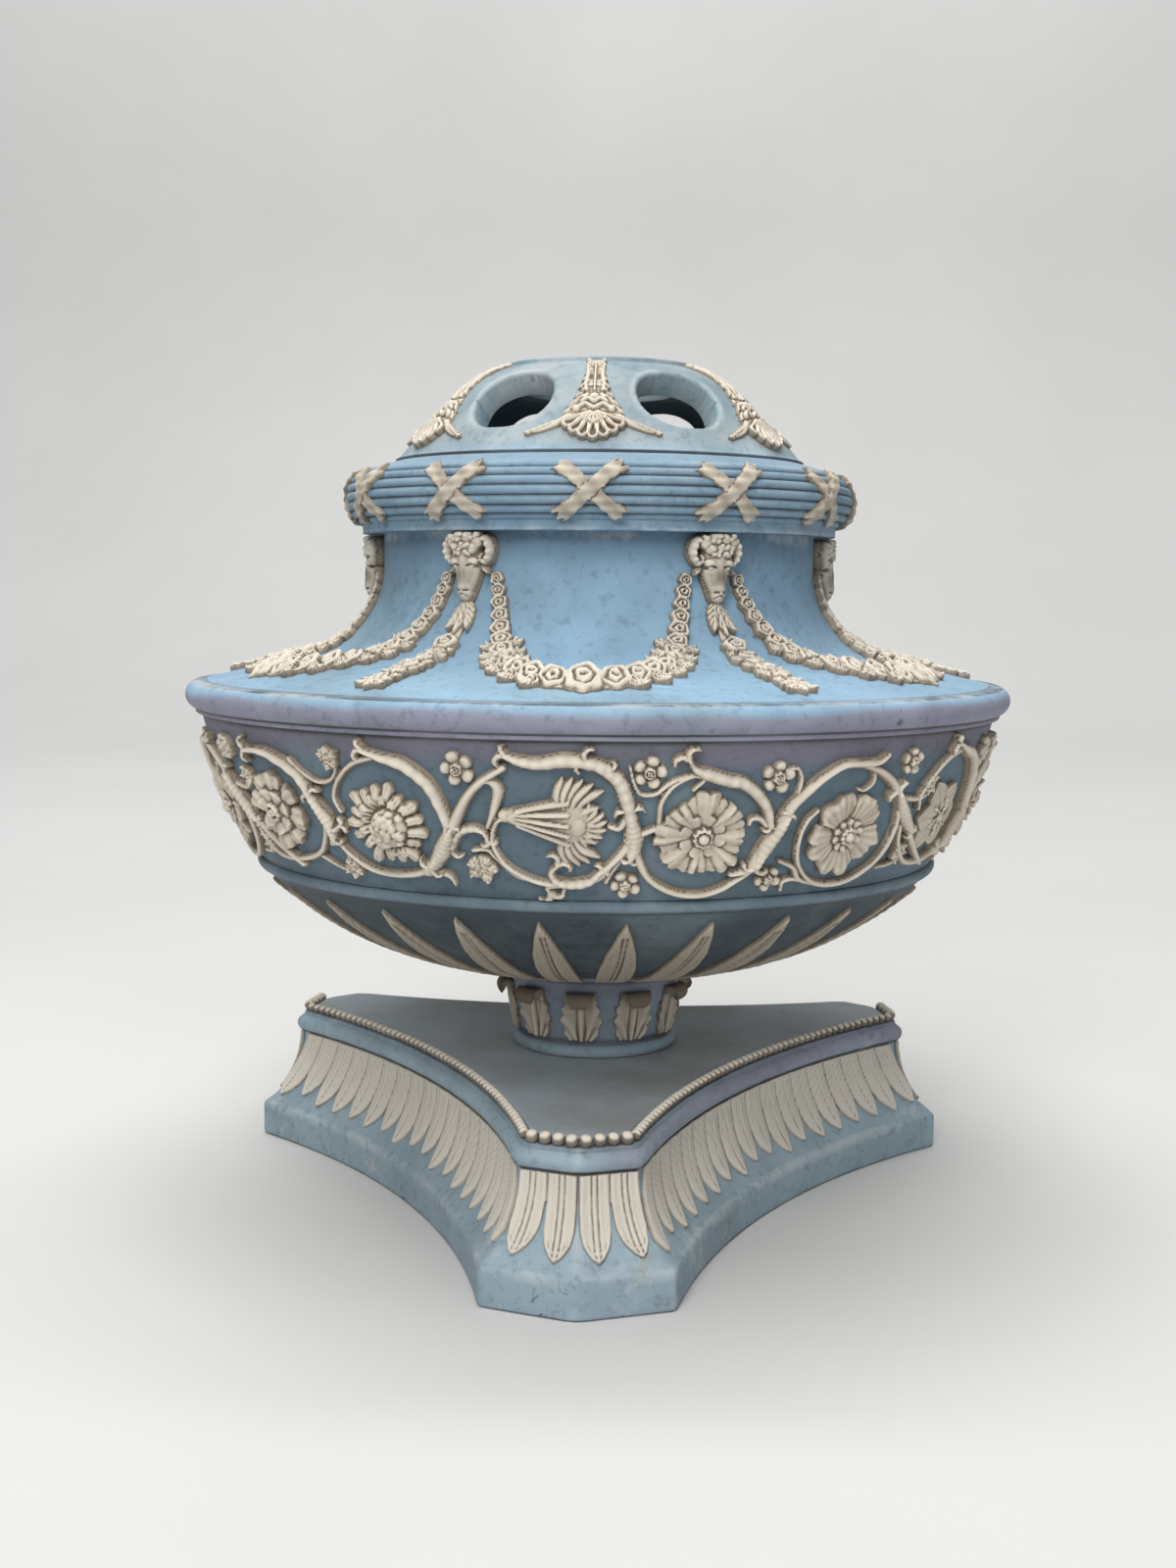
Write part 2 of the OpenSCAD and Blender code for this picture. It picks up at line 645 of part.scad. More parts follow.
// The shoulder stands back a little from the rim and leaves a groove line
groove = 1.5;
shoulder_r = seat_r - groove;
knee_end_r = neck_r + knee_r * (1 - sin(shoulder_slope));
knee_end_z = seat_z + (shoulder_r - knee_end_r) * tan(shoulder_slope);
knee_centre = [neck_r + knee_r, knee_end_z + knee_r * cos(shoulder_slope)];
collar_z = knee_centre.y + neck_h;
shoulder_path = concat(
    [[shoulder_r, seat_z]],
    arc(knee_centre, knee_r, 270 - shoulder_slope, 180, 12),
    [[neck_r, collar_z]]);
shoulder_skin = round_skin(shoulder_path);
slope_run = (shoulder_r - knee_end_r) / cos(shoulder_slope);
knee_run = knee_r * (90 - shoulder_slope) * PI / 180;

module shoulder() {
    // The inner curve runs beside the outer one, and the foot of the wall is flat on the rim
    inner = [for (p = arc(knee_centre, knee_r + shoulder_wall, 180, 270 - shoulder_slope, 8))
        [p.x, max(p.y, seat_z)]];
    color(body_blue)
        rotate_extrude()
            polygon(concat(
                shoulder_path,
                [[neck_r - shoulder_wall, collar_z]],
                inner,
                [[knee_end_r, seat_z]]));
}

swag_count = 6;
swag_step = full_turn / swag_count;
// How far the lowest stretch of a swag and the foot of a drop lie up the slope
swag_low = 16.5;
drop_low = 7;
// Half width and height of a drop
drop_w = 3.6;
drop_h = 1.8;
// Radii of a swag's roses, in the middle, next to it and at the ends, and how many hang to each side
rose_mid_r = 4.8;
rose_first_r = 3.6;
rose_last_r = 1.7;
swag_roses = 12;
// Small roses sit in the notches between the first ones, above and below, at a share of their radius
flank_roses = 6;
flank_share = 0.5;
// A rose stands on its flat back, this far off the hollow skin, and is this much smaller than its place
rose_seat = 0.25;
rose_fit = 0.9;
// Turned section of a rose as shares of its radius and height: a ring, a groove, a smaller ring and a pit
rose_form = [
    [0, 0], [1, 0], [1, 0.4], [0.88, 0.86], [0.72, 0.95], [0.52, 0.7], [0.32, 1], [0.14, 0.62], [0, 0.62]];
// The heads' height on the neck, and the sizes of a head
head_s = slope_run + knee_run + 0.1 * neck_h;
brow_r = 5.3;
nose_r = 2.9;
muzzle_l = 12.5;
horn_r = 1.2;
horn_curl_r = 2.1;
horn_x = 5;
head_up = 2.4;
head_out = 1.3;

module ram_head_form() {
    // Muzzle, from the brow down to the nose
    translate([0, -head_out, head_up - muzzle_l])
        cylinder(r1 = nose_r - 0.2, r2 = brow_r - 0.4, h = muzzle_l, $fn = 32);
    translate([0, -head_out - 0.3, head_up - muzzle_l])
        sphere(nose_r, $fn = 32);
    translate([0, -head_out, head_up])
        sphere(brow_r, $fn = 32);
    for (hand = [-1, 1])
        translate([hand * horn_x, -head_out - 0.4, head_up - 0.4])
            rotate([90, 0, 0])
                rotate_extrude($fn = 32)
                    translate([horn_curl_r, 0])
                        circle(horn_r, $fn = 24);
}

// Everything within a film of the shoulder's outside, which the rounded reliefs are cut off at
module shoulder_core() {
    whole = slope_run + knee_run + neck_h;
    rotate_extrude()
        polygon(concat(
            [[1, seat_z]],
            [for (i = [0:28]) let (p = shoulder_skin[1](0, whole * i / 28, film)) [-p.y, p.z]],
            [[1, collar_z]]));
}

module ram_heads() {
    reach = shoulder_skin[0](head_s);
    height = shoulder_skin[1](0, head_s, 0).z;
    color(relief_cream)
        difference() {
            for (k = [0:swag_count - 1])
                rotate([0, 0, swag_step * (k + 0.5)])
                    translate([0, -reach, height])
                        ram_head_form();
            shoulder_core();
        }
}

// A swag's line from its middle, q = 0, to an end beside the muzzle and below the horn, q = 1 or -1
swag_end_az = swag_step / 2 - mm_az(brow_r + 3, neck_r);
swag_end_s = head_s + head_up - 0.4 - horn_curl_r - horn_r - 4;
swag_parts = 40;
function swag_line(q) = [swag_end_az * q, swag_low + (swag_end_s - swag_low) * pow(abs(q), 2.3)];
swag_runs = lengths([
    for (i = [0:swag_parts]) let (p = swag_line(i / swag_parts)) shoulder_skin[1](p.x, p.y, 0)]);
function swag_share(run) = lookup(run, [for (i = [0:swag_parts]) [swag_runs[i], i / swag_parts]]);
function rose_r(k) =
    k == 0 ? rose_mid_r : rose_first_r + (rose_last_r - rose_first_r) * pow((k - 1) / (swag_roses - 1), 1.3);
function rose_h(r) = 1.5 + 0.42 * r;
function rose_place(k) = k == 0 ? 0 : rose_place(k - 1) + rose_r(k - 1) + rose_r(k);
function rose_share(k) = swag_share(swag_runs[swag_parts] * rose_place(k) / rose_place(swag_roses));

function swag_tangent(q) =
    let (p = swag_line(q), ahead = swag_line(q + 0.01), reach = shoulder_skin[0](p.y))
    let (d = [(ahead.x - p.x) * PI / 180 * reach, ahead.y - p.y])
    d / norm(d);

// A rose turned about the skin's normal
module rose(az, s, r) {
    foot = shoulder_skin[1](0, s, rose_seat);
    tip = shoulder_skin[1](0, s, rose_seat + 1);
    rotate([0, 0, az])
        translate(foot)
            rotate([acos(tip.z - foot.z), 0, 0])
                rotate_extrude($fn = 32)
                    polygon([for (p = rose_form) [p.x * rose_fit * r, p.y * rose_h(r)]]);
}

module flower_swags() {
    color(relief_cream)
        for (i = [0:swag_count - 1]) {
            for (k = [-swag_roses:swag_roses])
                let (p = swag_line(sign(k) * rose_share(abs(k))))
                    rose(swag_step * i + p.x, p.y, rose_r(abs(k)));
            for (k = [1:flank_roses], hand = [-1, 1], up = [-1, 1])
                let (q = (rose_share(k) + rose_share(k + 1)) / 2, p = swag_line(q), d = swag_tangent(q))
                let (near = (rose_r(k) + rose_r(k + 1)) / 2, r = flank_share * near)
                let (out = up * sqrt(pow(near + r, 2) - pow(near, 2)))
                    rose(swag_step * i + hand * (p.x - mm_az(out * d.y, shoulder_skin[0](p.y))),
                        p.y + out * d.x, r);
        }
}

module pendant_drops() {
    top = head_s + head_up - muzzle_l - nose_r - 1;
    color(relief_cream)
        for (k = [0:swag_count - 1])
            relief_strip(shoulder_skin,
                function (t) [swag_step * (k + 0.5), drop_low + (top - drop_low) * t],
                function (t) drop_w * lookup(t, [[0, 0.2], [0.4, 1.5], [1, 0.7]]),
                function (t, u) edge_t + drop_h * (1 - abs(u)),
                [0, 0.12, 0.26, 0.4, 0.55, 0.7, 0.85, 1]);
}

// Collar and cover

mouth_z = collar_z + collar_h;
// Seven touching reeds on a round bundle, between a fillet below and a slope up to the cover's seat
reeds = 7;
reed_ring_r = bundle_r - reed_r;
reed_pitch = 2 * asin(reed_r / reed_ring_r);
function reed_angle(k) = reed_pitch * (k - (reeds - 1) / 2);
collar_slope_h = 3;
bundle_out = 2.6;
bundle_z = mouth_z - collar_slope_h - reed_r - reed_ring_r * sin(reed_angle(reeds - 1));
bundle_centre = [neck_r + bundle_out, bundle_z];
reed_reach = bundle_centre.x + reed_ring_r * cos(reed_angle(0));
collar_fillet_h = bundle_centre.y - collar_z + reed_ring_r * sin(reed_angle(0));

module reeded_collar() {
    color(body_blue)
        rotate_extrude()
            union() {
                polygon([
                    [mouth_bore_r, collar_z], [reed_reach, collar_z],
                    [reed_reach, collar_z + collar_fillet_h], bundle_centre,
                    [reed_reach, mouth_z - collar_slope_h - reed_r], [reed_reach, mouth_z - collar_slope_h],
                    [cover_r + film, mouth_z], [mouth_bore_r, mouth_z]]);
                translate(bundle_centre)
                    circle(reed_ring_r, $fn = 64);
                for (k = [0:reeds - 1])
                    translate(bundle_centre + reed_ring_r * [cos(reed_angle(k)), sin(reed_angle(k))])
                        circle(reed_r, $fn = 32);
            }
}

// Crossed ribbons: their count, thickness and width, and half the width and height of a cross
tie_count = 12;
tie_t = 1;
tie_w = 4;
tie_span = 9.4;
tie_rise = 0.72 * bundle_r;

module ribbon_ties() {
    lean = atan2(tie_rise, tie_span);
    reach = norm([tie_rise, tie_span]);
    color(relief_cream)
        for (k = [0:tie_count - 1])
            rotate([0, 0, full_turn * k / tie_count])
                intersection() {
                    rotate_extrude()
                        translate(bundle_centre)
                            difference() {
                                circle(bundle_r + film + tie_t, $fn = 64);
                                circle(bundle_r + film, $fn = 64);
                            }
                    translate([0, -bundle_centre.x, bundle_centre.y])
                        rotate([90, 0, 0])
                            linear_extrude(height = 2 * bundle_r)
                                for (hand = [-1, 1])
                                    rotate(hand * lean)
                                        square([2 * reach, tie_w], center = true);
                }
}

// Slope where the crown meets the raised rim, the rim's height and the step outside it
crown_slope = 15;
top_rim_h = 1.8;
top_rim_step = 1.4;
// Thickness and depth of the flange that drops into the collar's mouth
flange_t = 5;
flange_depth = 6;
crown_end_r = top_rim_r + top_rim_step;
cone_top_r = crown_end_r + crown_r * (sin(dome_slope) - sin(crown_slope));
cone_top_z = mouth_z + (cover_r - cone_top_r) * tan(dome_slope);
crown_centre = [cone_top_r - crown_r * sin(dome_slope), cone_top_z - crown_r * cos(dome_slope)];
crown_z = crown_centre.y + crown_r * cos(crown_slope);
dome_path = concat([[cover_r, mouth_z]], arc(crown_centre, crown_r, 90 - dome_slope, 90 - crown_slope, 8));
dome_skin = round_skin(dome_path);
cone_run = (cover_r - cone_top_r) / cos(dome_slope);

module oval_hole(az) {
    at = dome_skin[1](0, cone_run, 0);
    rotate([0, 0, az])
        translate(at)
            rotate([dome_slope, 0, 0])
                translate([0, 0, -2 * cover_wall])
                    linear_extrude(height = 4 * cover_wall)
                        union() {
                            for (hand = [-1, 1])
                                translate([hand * (hole_w - hole_l) / 2, 0])
                                    circle(hole_l / 2, $fn = 64);
                            square([hole_w - hole_l, hole_l], center = true);
                        }
}

module pierced_cover() {
    flange_r = mouth_bore_r - seat_clearance;
    flange_in = flange_r - flange_t;
    inner = arc(crown_centre, crown_r - cover_wall, 90 - crown_slope, 90 - dome_slope, 6);
    inner_cone_r = cover_r - cover_wall / sin(dome_slope);
    flange_top = mouth_z + (inner_cone_r - flange_in) * tan(dome_slope);
    color(body_blue)
        difference() {
            rotate_extrude()
                polygon(concat(
                    [[flange_in, mouth_z - flange_depth], [flange_r, mouth_z - flange_depth],
                     [flange_r, mouth_z]],
                    dome_path,
                    [[top_rim_r, crown_z], [top_rim_r, crown_z + top_rim_h],
                     [top_mouth_r, crown_z + top_rim_h], [top_mouth_r, inner[0].y]],
                    inner,
                    [[flange_in, flange_top]]));
            for (k = [0:swag_count - 1])
                oval_hole(swag_step * (k + 0.5));
        }
}

// Share of the dome below the palmettes, and the half width of their side sprays
palmette_foot = 0.08;
spray_w = 1.1;

module cover_palmettes() {
    run = path_length(dome_path);
    gap = 2 * PI * cone_top_r / swag_count - hole_w;
    color(relief_cream)
        for (k = [0:swag_count - 1]) {
            relief_strip(dome_skin,
                function (t) [swag_step * k, run * (palmette_foot + 0.86 * t)],
                function (t) gap * lookup(t, [[0, 0.28], [0.3, 0.36], [0.7, 0.07], [1, 0.06]]),
                function (t, u) edge_t + rib_h * (0.5 + 0.5 * cos(720 * u)),
                [0, 0.15, 0.3, 0.5, 0.6, 0.7, 0.8, 0.9, 1], 4);
            for (hand = [-1, 1])
                relief_strip(dome_skin,
                    function (t)
                        [swag_step * k + hand * mm_az((0.42 + 0.3 * t) * gap, cover_r),
                         run * (palmette_foot + 0.02 * t)],
                    function (t) spray_w * (1 - 0.7 * t),
                    function (t, u) edge_t + rib_h / 2 * (1 - abs(u)),
                    [0, 0.5, 1]);
        }
}

// Tie bolt

// Washers, the round head, the square nut and the tail of the bolt below it
washer_r = 2 * bolt_d;
head_washer_t = 2;
foot_washer_t = 1.6;
head_h = 0.6 * bolt_d;
nut_w = 1.7 * bolt_d;
nut_h = 0.8 * bolt_d;
bolt_tail = 3;
bolt_chamfer = 0.6;
thread_gap = 0.02;
nut_top_z = deck_h - deck_t - foot_washer_t;
tail_z = nut_top_z - nut_h - bolt_tail;

module tie_bolt() {
    color(iron_grey)
        rotate_extrude()
            polygon(concat(
                [[0, tail_z], [bolt_d / 2 - bolt_chamfer, tail_z], [bolt_d / 2, tail_z + bolt_chamfer],
                 [bolt_d / 2, floor_z + head_washer_t], [bolt_d, floor_z + head_washer_t]],
                arc([bolt_d - head_h / 2, floor_z + head_washer_t + head_h / 2], head_h / 2, 0, 90, 6),
                [[0, floor_z + head_washer_t + head_h]]));
}

module ring(r_in, r_out, h) {
    difference() {
        cylinder(r = r_out, h = h);
        translate([0, 0, -cut_past])
            cylinder(r = r_in, h = h + 2 * cut_past);
    }
}

module head_washer() {
    color(leather_brown)
        translate([0, 0, floor_z])
            ring(bore_r, washer_r, head_washer_t);
}

module foot_washer() {
    color(iron_grey)
        translate([0, 0, nut_top_z])
            ring(bore_r, washer_r, foot_washer_t);
}

module tie_nut() {
    color(iron_grey)
        translate([0, 0, nut_top_z - nut_h])
            difference() {
                translate([-nut_w / 2, -nut_w / 2, 0])
                    cube([nut_w, nut_w, nut_h]);
                translate([0, 0, -cut_past])
                    cylinder(r = bolt_d / 2 + thread_gap, h = nut_h + 2 * cut_past);
            }
}

plinth();
plinth_bead_string();
plinth_side_leaves();
plinth_prow_leaves();
stem();
stem_acanthus_leaves();
bowl();
bowl_ray_leaves();
frieze_scroll_vine();
frieze_leaf_sheaths();
frieze_florets();
frieze_vine_leaves();
frieze_anemones();
frieze_sunflowers();
frieze_bellflowers();
frieze_peonies();
frieze_wild_roses();
frieze_lilies();
shoulder();
ram_heads();
flower_swags();
pendant_drops();
reeded_collar();
ribbon_ties();
pierced_cover();
cover_palmettes();
tie_bolt();
head_washer();
foot_washer();
tie_nut();
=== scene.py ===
from math import atan2, cos, degrees, pi, radians, sin, sqrt, tan

import bmesh
import bpy
import numpy as np
from bpy.props import FloatProperty, FloatVectorProperty, IntProperty, PointerProperty
from mathutils import Matrix, Vector


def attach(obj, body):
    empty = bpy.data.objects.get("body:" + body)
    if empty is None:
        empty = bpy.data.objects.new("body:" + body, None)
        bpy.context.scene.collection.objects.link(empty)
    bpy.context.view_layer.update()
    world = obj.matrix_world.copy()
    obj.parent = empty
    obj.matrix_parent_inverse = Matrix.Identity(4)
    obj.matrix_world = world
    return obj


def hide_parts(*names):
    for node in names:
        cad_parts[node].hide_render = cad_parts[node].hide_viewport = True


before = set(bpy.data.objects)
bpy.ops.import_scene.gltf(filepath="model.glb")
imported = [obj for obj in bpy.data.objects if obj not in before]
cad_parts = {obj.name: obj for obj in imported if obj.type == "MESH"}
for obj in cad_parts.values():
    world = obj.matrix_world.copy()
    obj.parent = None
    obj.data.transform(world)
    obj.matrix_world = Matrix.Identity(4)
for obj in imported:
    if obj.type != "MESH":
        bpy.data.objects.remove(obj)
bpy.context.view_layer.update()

bl_info = {
    "name": "Potpourri Vase",
    "version": (1, 0, 0),
    "blender": (4, 5, 0),
    "location": "3D View > Sidebar > Vase",
    "description": "Builds the looks of a two-tone stoneware potpourri vase round its packed model",
    "category": "Object",
}

MM = 0.001
TAU = 2 * pi
VASE, COVER = "vase", "cover"
BLUE, CREAM = "blue_body", "cream_relief"


def number_of(name, description, default, least):
    return IntProperty(name=name, description=description, default=default, min=least)


def swatch(name, description, default):
    return FloatVectorProperty(name=name, description=description, default=default, subtype="COLOR",
                               min=0, max=1)


class VaseSizes(bpy.types.PropertyGroup):
    """Counts of what repeats, the frieze's turn and the plinth's wear."""
    frieze_turn: FloatProperty(
        name="Frieze turn", description="Turn of the frieze from the front", default=0.0, subtype="ANGLE")
    frieze_cells: number_of("Frieze cells", "Loops of the scroll round the bowl", 17, 6)
    ray_count: number_of("Rays", "Ray leaves under the bowl", 27, 8)
    acanthus_count: number_of("Acanthus leaves", "Leaves round the stem", 10, 4)
    tie_count: number_of("Ties", "Crossed ribbons round the collar", 12, 4)
    swag_count: number_of("Swags", "Swags round the shoulder", 6, 3)
    side_leaf_count: number_of("Side leaves", "Leaves on each concave side of the plinth", 18, 6)
    edge_wear: FloatProperty(
        name="Edge wear", description="Rounding of the plinth's worn edges in mm", default=0.8, min=0.05)


class VaseColours(bpy.types.PropertyGroup):
    """Colours of the clays, the dirt and painted shade, and the stage."""
    body: swatch("Body blue", "Light blue of the body", (0.25, 0.40, 0.535))
    # The bowl's greyer blue is partly its clay and partly painted shade
    body_low_and_shade: swatch("Bowl slate", "Greyer blue of the bowl", (0.115, 0.165, 0.205))
    lilac: swatch("Lilac bloom", "Lilac tinge of the rim", (0.27, 0.255, 0.34))
    cream: swatch("Relief cream", "Cream of the reliefs", (0.70, 0.62, 0.505))
    # The dirt colour also paints shade in the recesses
    dirt_and_shade: swatch("Dirt", "Brown-grey dirt in the recesses", (0.115, 0.085, 0.06))
    floor: swatch("Floor", "Pale floor and backdrop", (0.62, 0.62, 0.61))


def sizes():
    return bpy.context.scene.vase_sizes


def colours():
    return bpy.context.scene.vase_colours


# Sections in millimetres, as (r, z) points

def arc(cx, cz, r, a0, a1, n):
    """An arc about (cx, cz) from angle a0 to a1 in degrees."""
    a = np.radians(np.linspace(a0, a1, n + 1))
    return np.stack([cx + r * np.cos(a), cz + r * np.sin(a)], 1)


def bulge(p, q, r, n):
    """An arc of radius r from p to q."""
    p, q = np.array(p, float), np.array(q, float)
    d = q - p
    k = sqrt(r * r - d @ d / 4) / np.linalg.norm(d)
    c = (p + q) / 2 + k * np.array([-d[1], d[0]])
    a0, a1 = (degrees(atan2(v[1] - c[1], v[0] - c[0])) for v in (p, q))
    return arc(c[0], c[1], r, a0, a1, n)


def line(p, q, n):
    t = np.linspace(0, 1, n + 1)[:, None]
    return np.array(p, float) * (1 - t) + np.array(q, float) * t


def joined(*runs):
    """One run of points from several, without doubles."""
    p = np.vstack([np.atleast_2d(np.array(r, float)) for r in runs])
    keep = np.r_[True, np.linalg.norm(np.diff(p, axis=0), axis=1) > 1e-4]
    return p[keep]


# Plinth
PROW_REACH, PROW_ANGLE, SIDE_REACH, SIDE_ARC = 125.0, radians(20), 65.0, 258.0
FACET_REACH = PROW_REACH * cos(PROW_ANGLE)
SIDE_CENTRE = SIDE_REACH + SIDE_ARC
SLAB_H, DECK_H, THROAT, THROAT_Z = 11.4, 43.0, 11.91, 34.75
MOULD_Z, MOULD_R, MOULD_IN = 37.48, 2.9, 10.0
LEDGE_Z, LEDGE_IN, BEAD_IN, BEAD_R, BEAD_Z = 41.4, 15.35, 13.41, 1.5, 43.0
CAVITY_IN, DECK_UNDER, BORE_R = 20.91, 33.0, 4.6
# Gaps between pearls in mm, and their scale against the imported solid
PROW_GAP, SIDE_GAP, PROW_PEARL, SIDE_PEARL = 0.12, 0.08, 1.22, 0.94


def flare(n):
    """The hollow flare of the plinth as (inset, z), from the slab up to the moulding."""
    a = np.radians(60) * (1 - np.linspace(0, 1, n + 1))
    c = cos(radians(60))
    return np.stack([1 + (THROAT - 1) * (np.cos(a) - c) / (1 - c),
                     THROAT_Z - (THROAT_Z - SLAB_H) * np.sin(a) / sin(radians(60))], 1)


# Stem
STEM_LOW, STEM_HIGH = (23.4, 47.6), (26.5, 67.0)
STEM_HOLLOW = bulge(STEM_LOW, STEM_HIGH, 84, 24)
STEM_OUT = joined(arc(23.8, 44.8, 1.8, -90, 60, 14), line((24.6, 46.4), STEM_LOW, 4), STEM_HOLLOW,
                  line((26.6, 67.1), (29.3, 67.9), 5), arc(29.0, 68.5, 0.5, -60, 0, 4),
                  line((29.5, 68.6), (29.5, 71), 4))

# Bowl
UNDER = arc(29.5, 174, 103, -90, -45, 60)
UNDER_END = UNDER[-1]
WALL = bulge((103.13, 104.77), (120.2, 147.37), 180, 60)
RIM_C, RIM_R, SEAT_Z = (121.0, 152.83), 4.0, 156.70
BOWL_OUT = joined(UNDER, arc(UNDER_END[0], UNDER_END[1] + 1.8, 1.8, -80, 80, 16), WALL,
                  line((120.3, 147.4), (121.9, 147.75), 4), line((122.04, 147.9), (122.04, 148.9), 3),
                  arc(RIM_C[0], RIM_C[1], RIM_R, -75, 75, 30))
BOWL_IN = joined(line((112.2, SEAT_Z), (112.2, 147.4), 8), arc(29.5, 174, 95, -44, -90, 40))

# Shoulder
SHOULDER = joined(line((120.5, 156.70), (87.2, 164.39), 40), arc(93.5, 191.67, 28, 257, 180, 50),
                  line((65.5, 191.67), (65.5, 200.67), 12))
SHOULDER_IN = arc(93.5, 191.67, 35, 180, 257, 40)
HEAD_S, NECK_R = 71.8, 66.5

# Collar
BUNDLE, BUNDLE_R, REED_RING, REED_R, REEDS, REED_PITCH = (68.1, 211.35), 8.9, 7.6, 1.3, 7, 19.7
COLLAR_Z, MOUTH_Z, MOUTH_R = 200.67, 222.17, 55.6

# Cover
COVER_R, CONE_TOP, CROWN_C, CROWN_R = 62.0, (47.85, 239.04), (21.8, 217.18), 34.0
DOME = joined(line((COVER_R, MOUTH_Z), CONE_TOP, 30), arc(CROWN_C[0], CROWN_C[1], CROWN_R, 40, 75, 30))
CONE_SLOPE, COVER_WALL, TOP_Z = radians(50), 7.0, 251.83
EYE_R, EYE_Z, FLANGE_R, FLANGE_IN, FLANGE_Z = 22.0, 243.3, 55.0, 50.0, 216.17
HOLES, HOLE_W, HOLE_L, HOLE_LIP = 6, 25.2, 22.8, 1.3


def reeds_section():
    """The reeded face of the collar from its lower edge to the cover's seat."""
    runs = [line((72.0, COLLAR_Z), (72.0, 203.6), 5)]
    for k in range(REEDS):
        a = radians(REED_PITCH * (k - (REEDS - 1) / 2))
        c = (BUNDLE[0] + REED_RING * cos(a), BUNDLE[1] + REED_RING * sin(a))
        runs.append(arc(c[0], c[1], REED_R, degrees(a) - 84, degrees(a) + 84, 12))
    runs.append(line((72.0, 219.2), (62.5, 222.05), 12))
    return joined(*runs)


def around(r, az, z):
    """Points at radius r and azimuth az, which runs from the front to the right."""
    return np.stack([r * np.sin(az), -r * np.cos(az), z], -1)


def beside(d, x, a):
    """The place in plan at d from the axis along azimuth a and x to its right."""
    return d * sin(a) + x * cos(a), -d * cos(a) + x * sin(a)


class Skin:
    """A turned surface walked along its section; the outside lies to the right of the walk."""

    def __init__(self, points, side=1.0):
        self.p = np.array(points, float)
        self.s = np.r_[0, np.cumsum(np.linalg.norm(np.diff(self.p, axis=0), axis=1))]
        t = np.gradient(self.p, self.s, axis=0)
        t /= np.linalg.norm(t, axis=1)[:, None]
        self.n = side * np.stack([t[:, 1], -t[:, 0]], 1)
        self.run = self.s[-1]

    def section(self, s, h):
        at = [np.interp(s, self.s, c) for c in (self.p[:, 0], self.p[:, 1], self.n[:, 0], self.n[:, 1])]
        return at[0] + at[2] * h, at[1] + at[3] * h

    def radius(self, s):
        return np.interp(s, self.s, self.p[:, 0])

    def place(self, az, s, h):
        r, z = self.section(s, h)
        return around(r, az, z)


class SideSkin(Skin):
    """The hollow flare of a concave side, turned about the far centre of its arc."""

    def __init__(self, points):
        super().__init__(points, -1.0)

    def place(self, az, s, h):
        r, z = self.section(s, h)
        a = pi / 3
        along = (-sin(a), cos(a))
        across = (cos(a), sin(a))
        x = SIDE_CENTRE * sin(a) + r * (np.cos(az) * along[0] + np.sin(az) * across[0])
        y = -SIDE_CENTRE * cos(a) + r * (np.cos(az) * along[1] + np.sin(az) * across[1])
        return np.stack([x, y, z], -1)


class FacetSkin(Skin):
    """The flare on one facet of the front prow, walked up its slope; its azimuth is a length in mm."""

    def radius(self, s):
        return np.ones_like(np.asarray(s, float))

    def place(self, x, s, h):
        d, z = self.section(s, h)
        return np.stack([*beside(d, x, PROW_ANGLE), z], -1)


# Relief sculpting on a grid over a skin

def spline(points, n):
    """A smooth run through the points."""
    p = np.array(points, float)
    if len(p) < 3:
        return line(p[0], p[-1], 6)
    q = np.vstack([2 * p[0] - p[1], p, 2 * p[-1] - p[-2]])
    t = np.linspace(0, 1, n, endpoint=False)[:, None]
    out = []
    for i in range(1, len(q) - 2):
        a, b, c, d = q[i - 1:i + 3]
        out.append(0.5 * (2 * b + (c - a) * t + (2 * a - 5 * b + 4 * c - d) * t ** 2
                          + (3 * b - a - 3 * c + d) * t ** 3))
    return np.vstack(out + [p[-1:]])


def ramp(t, stops):
    """A value along t from (place, value) stops."""
    s = np.array(stops, float)
    return np.interp(t, s[:, 0], s[:, 1])


def unit(v):
    """The value held between 0 and 1."""
    return np.clip(v, 0, 1)


def dome(v):
    """A half circle: 1 at zero, 0 at 1 either way."""
    return np.sqrt(unit(1 - v * v))


def tent(v, half):
    """1 at zero, falling evenly to 0 at half either way."""
    return unit(1 - np.abs(v) / half)


def wave(turn):
    """1 at no turn, 0 at half a turn."""
    return 0.5 + 0.5 * np.cos(turn)


def smooth(a, times):
    """A grid evened out with its neighbours, so many times over."""
    for _ in range(times):
        p = np.pad(a, 1, mode="edge")
        a = (p[:-2, 1:-1] + p[2:, 1:-1] + p[1:-1, :-2] + p[1:-1, 2:] + 4 * a) / 8
    return a


def cell_quads(index, cells):
    """Faces of the marked cells of a grid of points; a grid with as many cells as points closes on itself."""
    i, j = np.nonzero(cells)
    i2, j2 = (i + 1) % index.shape[0], (j + 1) % index.shape[1]
    return np.stack([index[i, j], index[i, j2], index[i2, j2], index[i2, j]], 1)


def closed_grid(m, n):
    return cell_quads(np.arange(m * n).reshape(m, n), np.ones((m, n), bool))


def touched(cells, shape):
    """The grid points that are corners of marked cells."""
    marks = np.zeros(shape, bool)
    marks.flat[cell_quads(np.arange(marks.size).reshape(shape), cells).ravel()] = True
    return marks


def open_edges(quads, n):
    """Edges that only one face has."""
    edges = np.concatenate([quads[:, [k, (k + 1) % 4]] for k in range(4)])
    key = edges[:, 0].astype(np.int64) * n + edges[:, 1]
    twin = edges[:, 1].astype(np.int64) * n + edges[:, 0]
    return edges[~np.isin(key, twin)]


EVERYWHERE = (slice(None), slice(None))
# Depth of a bare ground, and how much wider a window is in azimuth than at the relief's own radius
BARE, SLACK = -9.0, 1.7
